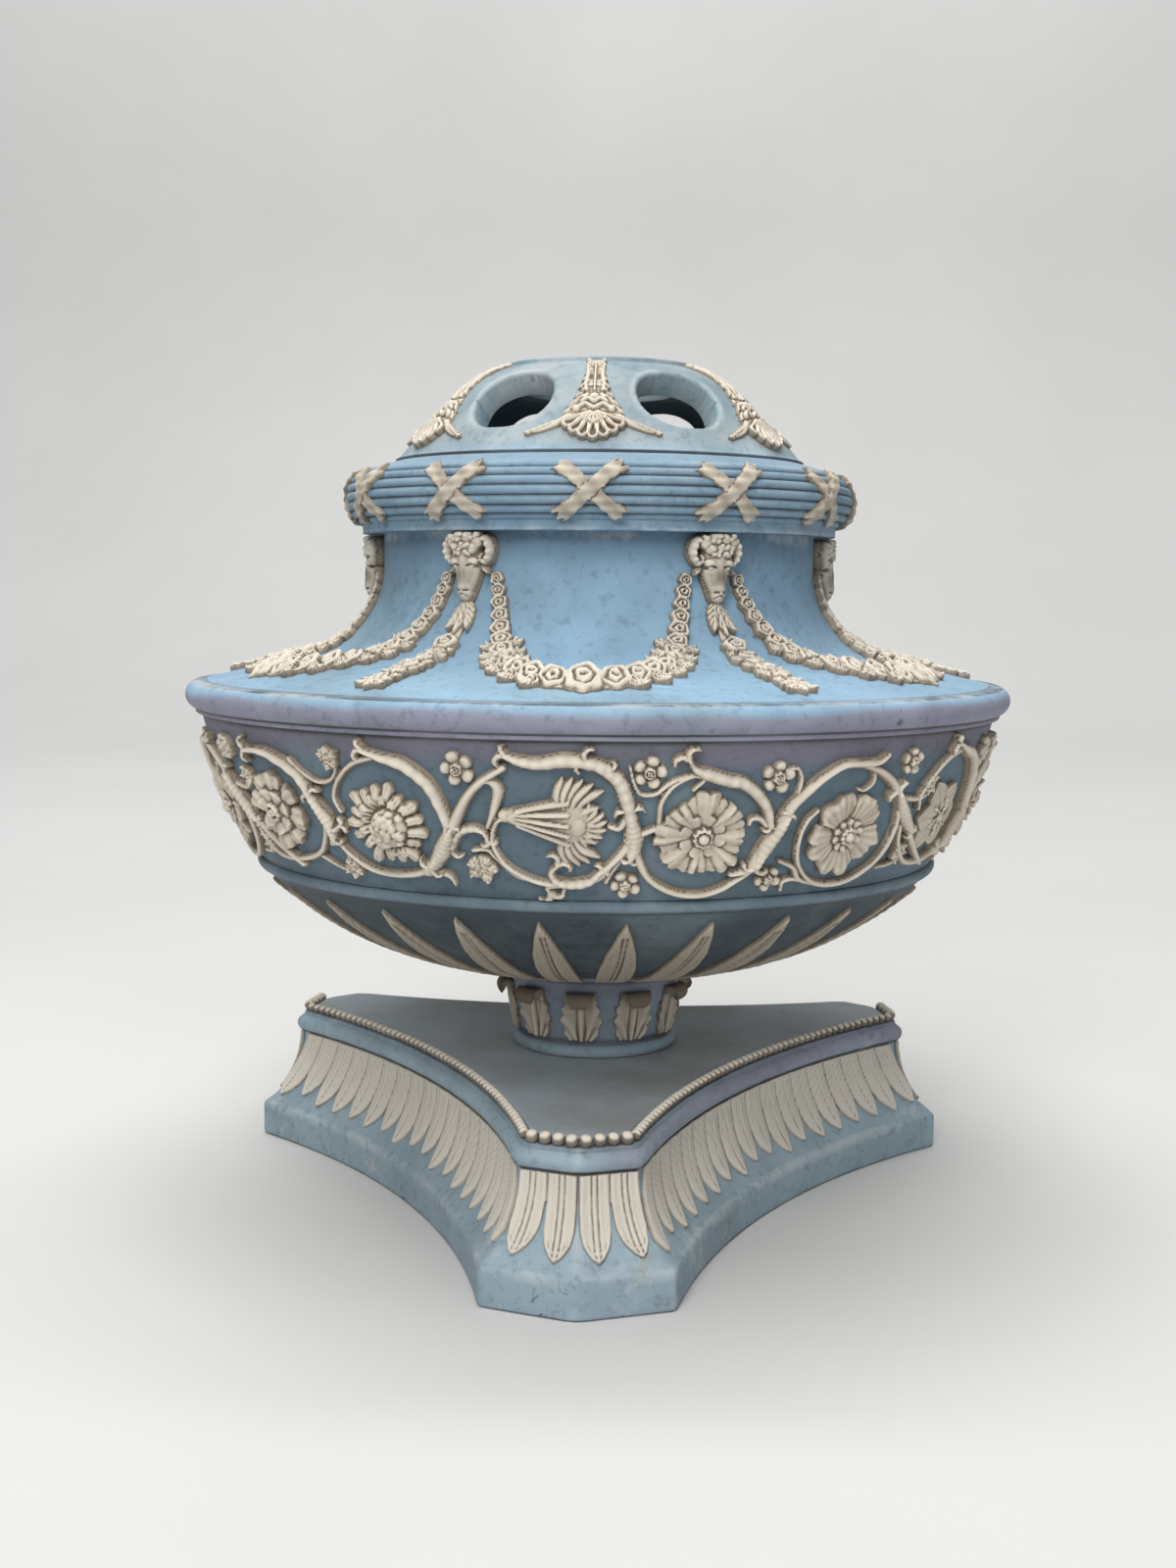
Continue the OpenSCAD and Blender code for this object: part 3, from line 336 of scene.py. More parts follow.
# Smoothing passes and gains by which dirt and painted shade in the hollows, and wear and painted highlight on
# the crests, follow the heights
NEAR_PASSES, NEAR_DIRT_SHADE, WIDE_PASSES, WIDE_DIRT_SHADE = 4, 5.0, 16, 2.2
MEAN_PASSES, CREST_BASE, CREST_GAIN = 14, 0.38, 0.75
# Dirt and painted shade along the outline and on the sunk underside, whose walls show at the relief's foot
EDGE_DIRT_SHADE, UNDER_DIRT_SHADE = 0.30, 0.6
# The outline's points: share of their neighbours' height, least drop below them and least height in mm
EDGE_SHARE, EDGE_DROP, EDGE_LEAST = 0.8, 0.05, 0.12
# Cells along a block of the underside
BLOCK = 4


class Relief:
    """Clay laid up over a skin: d is the depth inside the outline and h the height, both in mm."""

    def __init__(self, skin, az, s, at_s):
        self.skin = skin
        self.az, self.s = np.asarray(az, float), np.asarray(s, float)
        self.AZ, self.S = np.meshgrid(self.az, self.s)
        self.R = skin.radius(self.S)
        self.mid_r = float(skin.radius(np.array([at_s]))[0])
        self.d = np.full(self.AZ.shape, BARE)
        self.h = np.zeros(self.AZ.shape)
        self.stain = np.zeros(self.AZ.shape)

    def window(self, az0, az1, s0, s1):
        i = slice(max(np.searchsorted(self.s, s0) - 1, 0), np.searchsorted(self.s, s1) + 1)
        j = slice(max(np.searchsorted(self.az, az0) - 1, 0), np.searchsorted(self.az, az1) + 1)
        return i, j

    def near(self, az, s, reach):
        aside = reach / self.mid_r * SLACK
        return self.window(az - aside, az + aside, s - reach, s + reach)

    def lay(self, w, d, h):
        """Adds a form by its inside depth and height over a window."""
        self.h[w] = np.where(d > 0, np.maximum(self.h[w], h), self.h[w])
        self.d[w] = np.maximum(self.d[w], d)

    def dent(self, w, depth):
        self.h[w] = self.h[w] - depth

    def local(self, w, az, s, turn=0.0):
        x, y = (self.AZ[w] - az) * self.R[w], self.S[w] - s
        c, k = cos(turn), sin(turn)
        return x * c + y * k, y * c - x * k

    def stroke(self, points, width, rise, edge=0.5, ridge=0.0, sharp=2.0, steps=10, cut=False):
        """A stem, sheath or ribbon along points of (azimuth, s); width is its half width. Both width and
        rise are numbers or (place, value) stops along it."""
        p = spline(points, steps)
        width = [(0, width), (1, width)] if np.isscalar(width) else width
        rise = [(0, rise), (1, rise)] if np.isscalar(rise) else rise
        reach = max(v for _, v in width) + 2.0
        aside = reach / self.mid_r * SLACK
        low, high = p.min(0) - [aside, reach], p.max(0) + [aside, reach]
        w = self.window(low[0], high[0], low[1], high[1])
        AZ, S, R = self.AZ[w], self.S[w], self.R[w]
        if AZ.size == 0:
            return
        best = np.full(AZ.shape, 1e9)
        T, U = np.zeros(AZ.shape), np.zeros(AZ.shape)
        n = len(p) - 1
        for i in range(n):
            vx, vy = (p[i + 1, 0] - p[i, 0]) * R, p[i + 1, 1] - p[i, 1]
            x, y = (AZ - p[i, 0]) * R, S - p[i, 1]
            t = unit((x * vx + y * vy) / (vx * vx + vy * vy + 1e-12))
            q = np.hypot(x - t * vx, y - t * vy)
            m = q < best
            best = np.where(m, q, best)
            T = np.where(m, (i + t) / n, T)
            U = np.where(m, np.sign(vx * y - vy * x) * q, U)
        half = ramp(T, width)
        u = U / np.maximum(half, 1e-3)
        top = ramp(T, rise)
        if cut:
            self.dent(w, tent(u, 1) * top)
            return
        h = edge + (top - edge) * unit(1 - np.abs(u) ** sharp) ** 0.6
        if ridge:
            h = h + ridge * np.sin(T * TAU * 9) * dome(u)
        self.lay(w, half - np.abs(U), h)

    def knob(self, az, s, r, rise, edge=0.4, squash=1.0, turn=0.0):
        """A round or oval dome."""
        w = self.near(az, s, r * max(squash, 1) + 1.5)
        x, y = self.local(w, az, s, turn)
        q = np.hypot(x / squash, y)
        self.lay(w, r - q, edge + (rise - edge) * dome(unit(q / r)))

    def ring_rose(self, az, s, r, rise, squash=1.0, turn=0.0, lobes=5, phase=0.0, tilt=0.0):
        """A small rose: a lobed outer ring, a groove, an inner ring and a pit."""
        w = self.near(az, s, r * max(squash, 1) + 1.5)
        x, y = self.local(w, az, s, turn)
        x = x / squash
        q, a = np.hypot(x, y), np.arctan2(y, x)
        edge = r * (1 - 0.07 * (1 + np.cos(lobes * a + phase)))
        v = unit(q / edge)
        swirl = 0.05 * np.cos(2 * a + phase + 7 * v)
        h = ramp(v + swirl, [(0, 0.48), (0.10, 0.50), (0.25, 0.98), (0.36, 1.0), (0.50, 0.60), (0.55, 0.59),
                             (0.72, 0.95), (0.86, 0.86), (1.0, 0.42), (1.2, 0.4)])
        h = h * (1 + tilt * np.clip((self.S[w] - s) / r, -1.2, 1.2))
        self.lay(w, edge - q, rise * h)

    def leaf(self, az, s, turn, length, half, rise, veins, tip=0.6):
        """A small leaf from its root at (azimuth, s) along turn, with a midrib and side veins."""
        w = self.near(az, s, length + 1.5)
        x, y = self.local(w, az, s, turn)
        t = unit(x / length)
        out = half * np.sin(pi * t ** tip) ** 0.8
        out = out * (1 - 0.12 * wave(TAU * veins * t))
        d = np.minimum(out - np.abs(y), np.minimum(x, length - x) + 0.3)
        u = np.abs(y) / np.maximum(out, 0.05)
        h = rise * (0.55 + 0.45 * dome(u)) * (0.8 + 0.2 * t)
        h = h - 0.16 * rise * wave(TAU * (veins * t - 1.2 * u))
        h = h + 0.15 * rise * tent(y, 0.45)
        self.lay(w, d, h)

    def bloom(self, az, s, r, petals, shape, part, turn=0.0):
        """A flower head; shape(v, p, k) gives its height, with v the share of the edge's radius, p the place
        across a petal from -1 to 1 and k the petal; part(p, k) gives the share of r where the petal ends."""
        w = self.near(az, s, r * 1.25 + 1.5)
        x, y = self.local(w, az, s, turn)
        q, a = np.hypot(x, y), np.arctan2(y, x)
        f = (a / TAU * petals) % petals
        k = np.floor(f).astype(int) % petals
        p = 2 * (f - np.floor(f)) - 1
        edge = r * part(p, k)
        v = q / np.maximum(edge, 1e-3)
        self.lay(w, edge - q, shape(np.clip(v, 0, 1.2), p, k))

    def mesh(self, name, seed, sink=0.35, grain=0.05):
        """A closed mesh: the worked face, its edge walls and an underside sunk into the skin."""
        rng = np.random.default_rng(seed)
        inside = self.d > 0
        inside[0] = inside[-1] = False
        inside[:, 0] = inside[:, -1] = False
        h = self.h + grain * smooth(rng.normal(0, 1, self.h.shape), 3) * inside
        cells = self.faced(inside)
        used = touched(cells, h.shape)
        out = used & ~inside
        AZ, S = self.drawn_in(out)
        ny, nx = h.shape
        pad = np.pad(np.where(inside, h, BARE), 1, mode="edge")
        near = np.max([pad[i:i + ny, j:j + nx] for i in range(3) for j in range(3)], axis=0)
        h = np.where(out, np.maximum(np.minimum(near * EDGE_SHARE, near - EDGE_DROP), EDGE_LEAST), h)
        hollow, crest = self.wear(h, used, out)
        n = int(used.sum())
        index = np.full(h.shape, -1)
        index[used] = np.arange(n)
        az, s = AZ[used], S[used]
        quads = cell_quads(index, cells)
        rim = open_edges(quads, n)
        single, fans = self.underside(cells, index, rim)
        kept = np.unique(np.concatenate([single.ravel(), fans.ravel(), rim.ravel()]))
        low = np.full(n, -1)
        low[kept] = n + np.arange(len(kept))
        face = self.skin.place(az, s, h[used])
        back = self.skin.place(az[kept], s[kept], np.full(len(kept), -sink))
        walls = np.stack([rim[:, 1], rim[:, 0], low[rim[:, 0]], low[rim[:, 1]]], 1)
        return make_mesh(name, np.concatenate([face, back]),
                         np.concatenate([quads, low[single[:, ::-1]], walls]),
                         tris=low[fans[:, ::-1]],
                         grime=np.concatenate([hollow[used], np.full(len(kept), UNDER_DIRT_SHADE)]),
                         crest=np.concatenate([crest[used], np.zeros(len(kept))]))

    def faced(self, inside):
        """The cells that get a face, filled up where two would meet at a corner only."""
        cells = inside[:-1, :-1] | inside[1:, :-1] | inside[:-1, 1:] | inside[1:, 1:]
        for _ in range(4):
            a, b = cells[:, :-1], cells[:, 1:]
            pinch = (a[:-1] & b[1:] & ~a[1:] & ~b[:-1]) | (~a[:-1] & ~b[1:] & a[1:] & b[:-1])
            i, j = np.nonzero(pinch)
            for ii in (i, i + 1):
                for jj in (j, j + 1):
                    cells[ii, jj] = True
        return cells

    def drawn_in(self, out):
        """Azimuths and places along the section, with points just outside the outline drawn in to it."""
        gs, ga = np.gradient(self.d, self.s, self.az)
        ga = ga / self.R
        g = np.sqrt(np.maximum(ga * ga + gs * gs, 0.05))
        limit = 0.8 * np.hypot(self.s[1] - self.s[0], (self.az[1] - self.az[0]) * self.R)
        move = np.where(out, np.clip(-self.d / g, 0, limit) / g, 0)
        return self.AZ + move * ga / self.R, self.S + move * gs

    def wear(self, h, used, out):
        """Dirt and painted shade in the hollows and by the outline, and crests above the mean height about
        them, which the materials paint paler as wear and painted highlight.
        """
        ground = np.where(used, h, 0)
        hollow = unit((smooth(ground, NEAR_PASSES) - ground) * NEAR_DIRT_SHADE)
        hollow = np.maximum(hollow, unit((smooth(ground, WIDE_PASSES) - ground) * WIDE_DIRT_SHADE))
        hollow = np.maximum(np.where(out, np.maximum(hollow, EDGE_DIRT_SHADE), hollow), self.stain)
        mean = smooth(ground, MEAN_PASSES) / np.maximum(smooth(used.astype(float), MEAN_PASSES), 1e-3)
        crest = np.where(out, 0.0, unit(CREST_BASE + (ground - mean) * CREST_GAIN))
        return hollow, crest

    def underside(self, cells, index, rim):
        """The unseen underside: single cells by the outline, and blocks of cells as fans inside it."""
        ny, nx = cells.shape
        by, bx = ny // BLOCK, nx // BLOCK
        full = cells[:by * BLOCK, :bx * BLOCK].reshape(by, BLOCK, bx, BLOCK).all(axis=(1, 3))
        fine = cells.copy()
        fine[:by * BLOCK, :bx * BLOCK] &= ~np.repeat(np.repeat(full, BLOCK, 0), BLOCK, 1)
        need = np.isin(index, rim) | touched(fine, index.shape)
        y, x = np.nonzero(full)
        y, x = y * BLOCK, x * BLOCK
        for oy in (0, BLOCK):
            for ox in (0, BLOCK):
                need[y + oy, x + ox] = True
        steps = np.arange(BLOCK)
        round_y = np.concatenate([0 * steps, steps, 0 * steps + BLOCK, BLOCK - steps])
        round_x = np.concatenate([steps, 0 * steps + BLOCK, BLOCK - steps, 0 * steps])
        fans = [np.zeros((0, 3), int)]
        for yy, xx in zip(y, x):
            loop = index[yy + round_y, xx + round_x][need[yy + round_y, xx + round_x]]
            middle = np.full(len(loop), index[yy + BLOCK // 2, xx + BLOCK // 2])
            fans.append(np.stack([middle, loop, np.roll(loop, -1)], 1))
        return cell_quads(index, fine), np.concatenate(fans)


def make_mesh(name, verts, quads, angle=50, tris=None, **values):
    """A mesh in metres from vertices in mm and its faces, turned outwards, with point attributes."""
    v = np.asarray(verts, float)
    q = np.asarray(quads, np.int64)
    w = np.zeros((0, 3), np.int64) if tris is None else np.asarray(tris, np.int64)
    halves = np.concatenate([q[:, [0, 1, 2]], q[:, [0, 2, 3]], w])
    if np.einsum("ij,ij->", np.cross(v[halves[:, 0]], v[halves[:, 1]]), v[halves[:, 2]]) < 0:
        q, w = q[:, ::-1], w[:, ::-1]
    me = bpy.data.meshes.new(name)
    me.vertices.add(len(v))
    me.vertices.foreach_set("co", (v * MM).astype(np.float32).ravel())
    corners = np.concatenate([q.ravel(), w.ravel()]).astype(np.int32)
    me.loops.add(len(corners))
    me.loops.foreach_set("vertex_index", corners)
    me.polygons.add(len(q) + len(w))
    starts = np.concatenate([np.arange(0, 4 * len(q), 4), np.arange(4 * len(q), len(corners), 3)])
    me.polygons.foreach_set("loop_start", starts.astype(np.int32))
    me.update(calc_edges=True)
    me.validate()
    for key, data in values.items():
        at = me.attributes.new(key, "FLOAT", "POINT")
        at.data.foreach_set("value", np.asarray(data, np.float32))
    me.shade_smooth()
    me.set_sharp_from_angle(angle=radians(angle))
    return me


def put(name, me, material=None):
    ob = bpy.data.objects.new(name, me)
    bpy.context.scene.collection.objects.link(ob)
    if material:
        me.materials.clear()
        me.materials.append(material)
    return ob


def hand_over(ob, body, slot, *nodes):
    """Says which body a piece rides on and which nodes it stands for; the slot, what it is made of, is not
    used.
    """
    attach(ob, body)
    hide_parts(*nodes)


def cream_piece(name, node, me, body=VASE):
    hand_over(put(name, me, cream()), body, CREAM, node)


def ring_piece(name, node, one, count, start=0.0, body=VASE):
    """Copies of one motif, evenly round the axis, as a cream piece."""
    cream_piece(name, node, ring(name, one, count, TAU / count, start), body)


def merged(name, meshes):
    """One mesh from several, with their attributes."""
    bm = bmesh.new()
    for me in meshes:
        bm.from_mesh(me)
    out = bpy.data.meshes.new(name)
    bm.to_mesh(out)
    bm.free()
    return out


def grown(name, me, tree, **given):
    """The plain mesh that a tree makes of a mesh with the given inputs."""
    ob = put(name + "_source", me)
    mod = ob.modifiers.new("nodes", "NODES")
    mod.node_group = tree
    for item in tree.interface.items_tree:
        if item.item_type == "SOCKET" and item.in_out == "INPUT" and item.name in given:
            mod[item.identifier] = given[item.name]
    graph = bpy.context.evaluated_depsgraph_get()
    out = bpy.data.meshes.new_from_object(ob.evaluated_get(graph), depsgraph=graph)
    out.name = name
    ob.modifiers.clear()
    bpy.data.objects.remove(ob)
    bpy.data.meshes.remove(me)
    return out


def ring(name, me, count, step, start):
    """Copies of a motif turned round the axis, as one mesh."""
    return grown(name, me, ring_tree(), Count=count, Start=float(start), Step=float(step), Finish=cream())


# Node trees

def group(name, outputs, inputs, build, kind="ShaderNodeTree"):
    """The node group of that name with its named sockets, built once."""
    if name in bpy.data.node_groups:
        return bpy.data.node_groups[name]
    tree = bpy.data.node_groups.new(name, kind)
    for label, sort, value in inputs:
        socket = tree.interface.new_socket(label, in_out="INPUT", socket_type=sort)
        if value is not None:
            socket.default_value = value
    for label, sort in outputs:
        tree.interface.new_socket(label, in_out="OUTPUT", socket_type=sort)
    w = Wiring(tree)
    build(w, w.new("NodeGroupInput").outputs)
    return tree


FLOAT, VECTOR, INTEGER = "NodeSocketFloat", "NodeSocketVector", "NodeSocketInt"
GEOMETRY, MATERIAL = "NodeSocketGeometry", "NodeSocketMaterial"


class Wiring:
    """Shorthand for building a node tree."""

    def __init__(self, tree):
        self.tree = tree

    def new(self, kind, **values):
        node = self.tree.nodes.new(kind)
        for k, v in values.items():
            if k in node.inputs:
                self.feed(node.inputs[k], v)
            else:
                setattr(node, k, v)
        return node

    def feed(self, socket, value):
        if isinstance(value, bpy.types.NodeSocket):
            self.tree.links.new(value, socket)
        elif value is not None:
            socket.default_value = value

    def fill(self, node, **given):
        """Sets a node's inputs by name."""
        for label, value in given.items():
            self.feed(node.inputs[label.replace("_", " ")], value)
        return node

    def maths(self, op, a, b=None, c=None, clamp=False):
        node = self.new("ShaderNodeMath", operation=op, use_clamp=clamp)
        for s, v in zip(node.inputs, (a, b, c)):
            self.feed(s, v)
        return node.outputs[0]

    def times(self, a, b, clamp=False):
        return self.maths("MULTIPLY", a, b, clamp=clamp)

    def noise(self, vector, scale, detail, rough=0.55, warp=0.0):
        return self.new("ShaderNodeTexNoise", Vector=vector, Scale=scale, Detail=detail, Roughness=rough,
                        Distortion=warp).outputs["Fac"]

    def span(self, value, low, high, to_low=0.0, to_high=1.0, smooth_step=True):
        node = self.new("ShaderNodeMapRange", interpolation_type="SMOOTHSTEP" if smooth_step else "LINEAR")
        self.fill(node, Value=value, From_Min=low, From_Max=high, To_Min=to_low, To_Max=to_high)
        return node.outputs["Result"]

    def mix(self, fac, a, b, blend="MIX"):
        node = self.new("ShaderNodeMix", data_type="RGBA", blend_type=blend)
        self.feed(node.inputs[0], fac)
        for k, v in ((6, a), (7, b)):
            self.feed(node.inputs[k], v if isinstance(v, bpy.types.NodeSocket) else (*v[:3], 1.0))
        return node.outputs[2]

    def attribute(self, name):
        return self.new("ShaderNodeAttribute", attribute_name=name).outputs["Fac"]

    def tint(self, colour, onto, mask, share):
        """The colour drawn towards another by a share of a mask."""
        return self.mix(self.times(mask, share), colour, onto)

    def grey(self, value):
        return self.new("ShaderNodeCombineColor", Red=value, Green=value, Blue=value).outputs[0]

    def zone(self, z, low0, low1, high0, high1):
        """A mask that rises from low0 to low1 and falls from high0 to high1."""
        return self.times(self.span(z, low0, low1), self.span(z, high0, high1, 1.0, 0.0))

    def yield_copies(self, finish, **given):
        """Sets instances on points, makes them real with the finish and hands them out."""
        copies = self.new("GeometryNodeInstanceOnPoints", **given)
        real = self.new("GeometryNodeRealizeInstances", Geometry=copies.outputs[0])
        paint = self.new("GeometryNodeSetMaterial", Geometry=real.outputs[0], Material=finish)
        self.feed(self.new("NodeGroupOutput").inputs[0], paint.outputs[0])


# Geometry Nodes

def ring_tree():
    """Turns copies of a motif round the axis: Count of them, from Start on, by Step."""
    def build(w, given):
        index = w.new("GeometryNodeInputIndex").outputs[0]
        turn = w.maths("MULTIPLY_ADD", index, given["Step"], given["Start"])
        w.yield_copies(given["Finish"], Points=w.new("GeometryNodePoints", Count=given["Count"]).outputs[0],
                       Instance=given["Motif"], Rotation=w.new("ShaderNodeCombineXYZ", Z=turn).outputs[0])
    return group("ring_of_motifs", [("Ring", GEOMETRY)],
                 [("Motif", GEOMETRY, None), ("Count", INTEGER, 6), ("Start", FLOAT, 0.0),
                  ("Step", FLOAT, 1.0), ("Finish", MATERIAL, None)], build, "GeometryNodeTree")


def bead_tree():
    """Sets a pearl on every point of a path, by the point's own turn and scale, each a little different."""
    def build(w, given):
        ball = w.new("GeometryNodeMeshUVSphere", Segments=12, Rings=7, Radius=given["Radius"]).outputs[0]
        place = w.new("ShaderNodeSeparateXYZ", Vector=w.new("GeometryNodeInputPosition").outputs[0]).outputs
        # Painted shade below each pearl and towards the next one
        low = w.span(place["Z"], -0.0006, given["Radius"], 1.0, -0.4, False)
        aside = w.maths("DIVIDE", w.maths("ABSOLUTE", place["X"]), given["Radius"])
        grime = w.maths("MAXIMUM", low, w.span(aside, 0.55, 0.92, -0.4, 1.0, False))
        # Each pearl is crest all over, painted paler as wear and painted highlight
        for label, value in (("grime", grime), ("crest", 1.0)):
            ball = w.new("GeometryNodeStoreNamedAttribute", Geometry=ball, Name=label, Value=value).outputs[0]
        size = w.new("FunctionNodeRandomValue", data_type="FLOAT", Seed=given["Seed"])
        w.feed(size.inputs[2], w.maths("SUBTRACT", 1.0, given["Uneven"]))
        w.feed(size.inputs[3], 1.0)
        named = "GeometryNodeInputNamedAttribute"
        turn, scale = (w.new(named, data_type="FLOAT", Name=label).outputs["Attribute"]
                       for label in ("turn", "scale"))
        euler = w.new("FunctionNodeEulerToRotation")
        w.feed(euler.inputs[0], w.new("ShaderNodeCombineXYZ", Z=turn).outputs[0])
        w.yield_copies(given["Finish"], Points=given["Path"],
                       Instance=w.new("GeometryNodeSetShadeSmooth", Geometry=ball).outputs[0],
                       Rotation=euler.outputs[0], Scale=w.times(size.outputs[1], scale))
    return group("string_of_pearls", [("Pearls", GEOMETRY)],
                 [("Path", GEOMETRY, None), ("Radius", FLOAT, 0.0015), ("Uneven", FLOAT, 0.05),
                  ("Seed", INTEGER, 3), ("Finish", MATERIAL, None)], build, "GeometryNodeTree")


# Materials

# Among these, the darkest blue under the bowl, the dark under the rim and the dark on the neck under the
# collar are painted shade and shadow; the pale on the string moulding is a painted highlight; the deck's pale
# and soil colours are lightened as painted light; the scrape and rubbed-cream colours are wear and painted
# highlight; the cream's low colour is a dirt wash and painted shade; the brown under the bowl is painted
# shade; the blue dirt colour is dirt and painted shade
BOWL_PAINTED_SHADE, COVER_GREY, COVER_PALE = (0.036, 0.050, 0.060), (0.175, 0.245, 0.275), (0.39, 0.425, 0.415)
PLINTH_GREY, STEM_GREY, GREEN_DRIFT = (0.31, 0.37, 0.39), (0.27, 0.285, 0.34), (0.20, 0.28, 0.29)
RIM_PAINTED_SHADOW, STRING_PAINTED_HIGHLIGHT, NECK_PAINTED_SHADOW = (0.085, 0.085, 0.098), (0.22, 0.32, 0.385), (0.085, 0.135, 0.19)
REED_GREY, DECK_PALE_AND_LIT, DECK_SOIL_AND_LIT = (0.115, 0.165, 0.20), (0.40, 0.44, 0.47), (0.255, 0.245, 0.235)
SCUFF, STAIN, NICK = (0.50, 0.53, 0.53), (0.30, 0.23, 0.13), (0.05, 0.045, 0.045)
BLUE_DIRT_AND_SHADE, PIT, SCRAPE_AND_HIGHLIGHT = (0.070, 0.068, 0.068), (0.05, 0.05, 0.055), (0.52, 0.56, 0.58)
CREAM_LOW_DIRT_SHADE, CREAM_TAN, CREAM_WORN_HIGHLIGHT = (0.27, 0.225, 0.17), (0.44, 0.33, 0.22), (0.80, 0.75, 0.665)
UNDER_BOWL_SHADE, PLINTH_CREAM, BARE_IRON = (0.185, 0.160, 0.122), (0.66, 0.635, 0.575), (0.10, 0.095, 0.09)
RUST, DARK_HIDE, PALE_HIDE = (0.20, 0.10, 0.055), (0.13, 0.07, 0.035), (0.26, 0.16, 0.09)


def clay_mottle():
    """Soft blotches, fine grain and small pits of fired clay."""
    def build(w, given):
        at = given["Vector"]
        cells = w.new("ShaderNodeTexVoronoi", feature="F1", Scale=150.0, Vector=at).outputs["Distance"]
        few = w.span(w.noise(at, 55.0, 2.0), 0.60, 0.70)
        w.new("NodeGroupOutput", Blotch=w.noise(at, given["Blotch scale"], 5.0, 0.6, 0.4),
              Grain=w.noise(at, given["Grain scale"], 3.0, 0.6),
              Pits=w.times(w.span(cells, 0.10, 0.19, 1.0, 0.0), few))
    return group("clay_mottle", [("Blotch", FLOAT), ("Grain", FLOAT), ("Pits", FLOAT)],
                 [("Vector", VECTOR, None), ("Blotch scale", FLOAT, 30.0), ("Grain scale", FLOAT, 900.0)],
                 build)


def recess_dirt_and_shade():
    """A mask of dirt and painted shade from the piece's own grime and shade attribute, broken up by noise."""
    def build(w, given):
        patch = w.noise(given["Vector"], 90.0, 5.0, 0.65, 0.6)
        veil = w.noise(given["Vector"], 22.0, 3.0, 0.6)
        lean = w.times(w.maths("MULTIPLY_ADD", patch, 0.8, -0.4), given["Spread"])
        mask = w.span(w.maths("ADD", w.attribute("grime"), lean), 0.10, 0.70)
        mask = w.times(mask, w.span(veil, 0.25, 0.6, 0.55, 1.0))
        w.new("NodeGroupOutput", Mask=w.times(mask, given["Amount"], clamp=True))
    return group("recess_dirt_and_shade", [("Mask", FLOAT)],
                 [("Vector", VECTOR, None), ("Amount", FLOAT, 1.0), ("Spread", FLOAT, 0.5)], build)


def finish_of(name, build):
    """The material of that name, built once."""
    mat = bpy.data.materials.get(name)
    if mat:
        return mat
    mat = bpy.data.materials.new(name)
    mat.use_nodes = True
    mat.node_tree.nodes.clear()
    w = Wiring(mat.node_tree)
    shader = w.new("ShaderNodeBsdfPrincipled")
    w.new("ShaderNodeOutputMaterial", Surface=shader.outputs[0])
    build(w, shader, w.new("ShaderNodeTexCoord").outputs["Object"])
    return mat


def use(w, tree, **given):
    return w.fill(w.new("ShaderNodeGroup", node_tree=tree), **given).outputs


def lump(w, shader, height, strength, distance):
    bump = w.new("ShaderNodeBump", Strength=strength, Distance=distance, Height=height)
    w.fill(shader, Normal=bump.outputs[0])


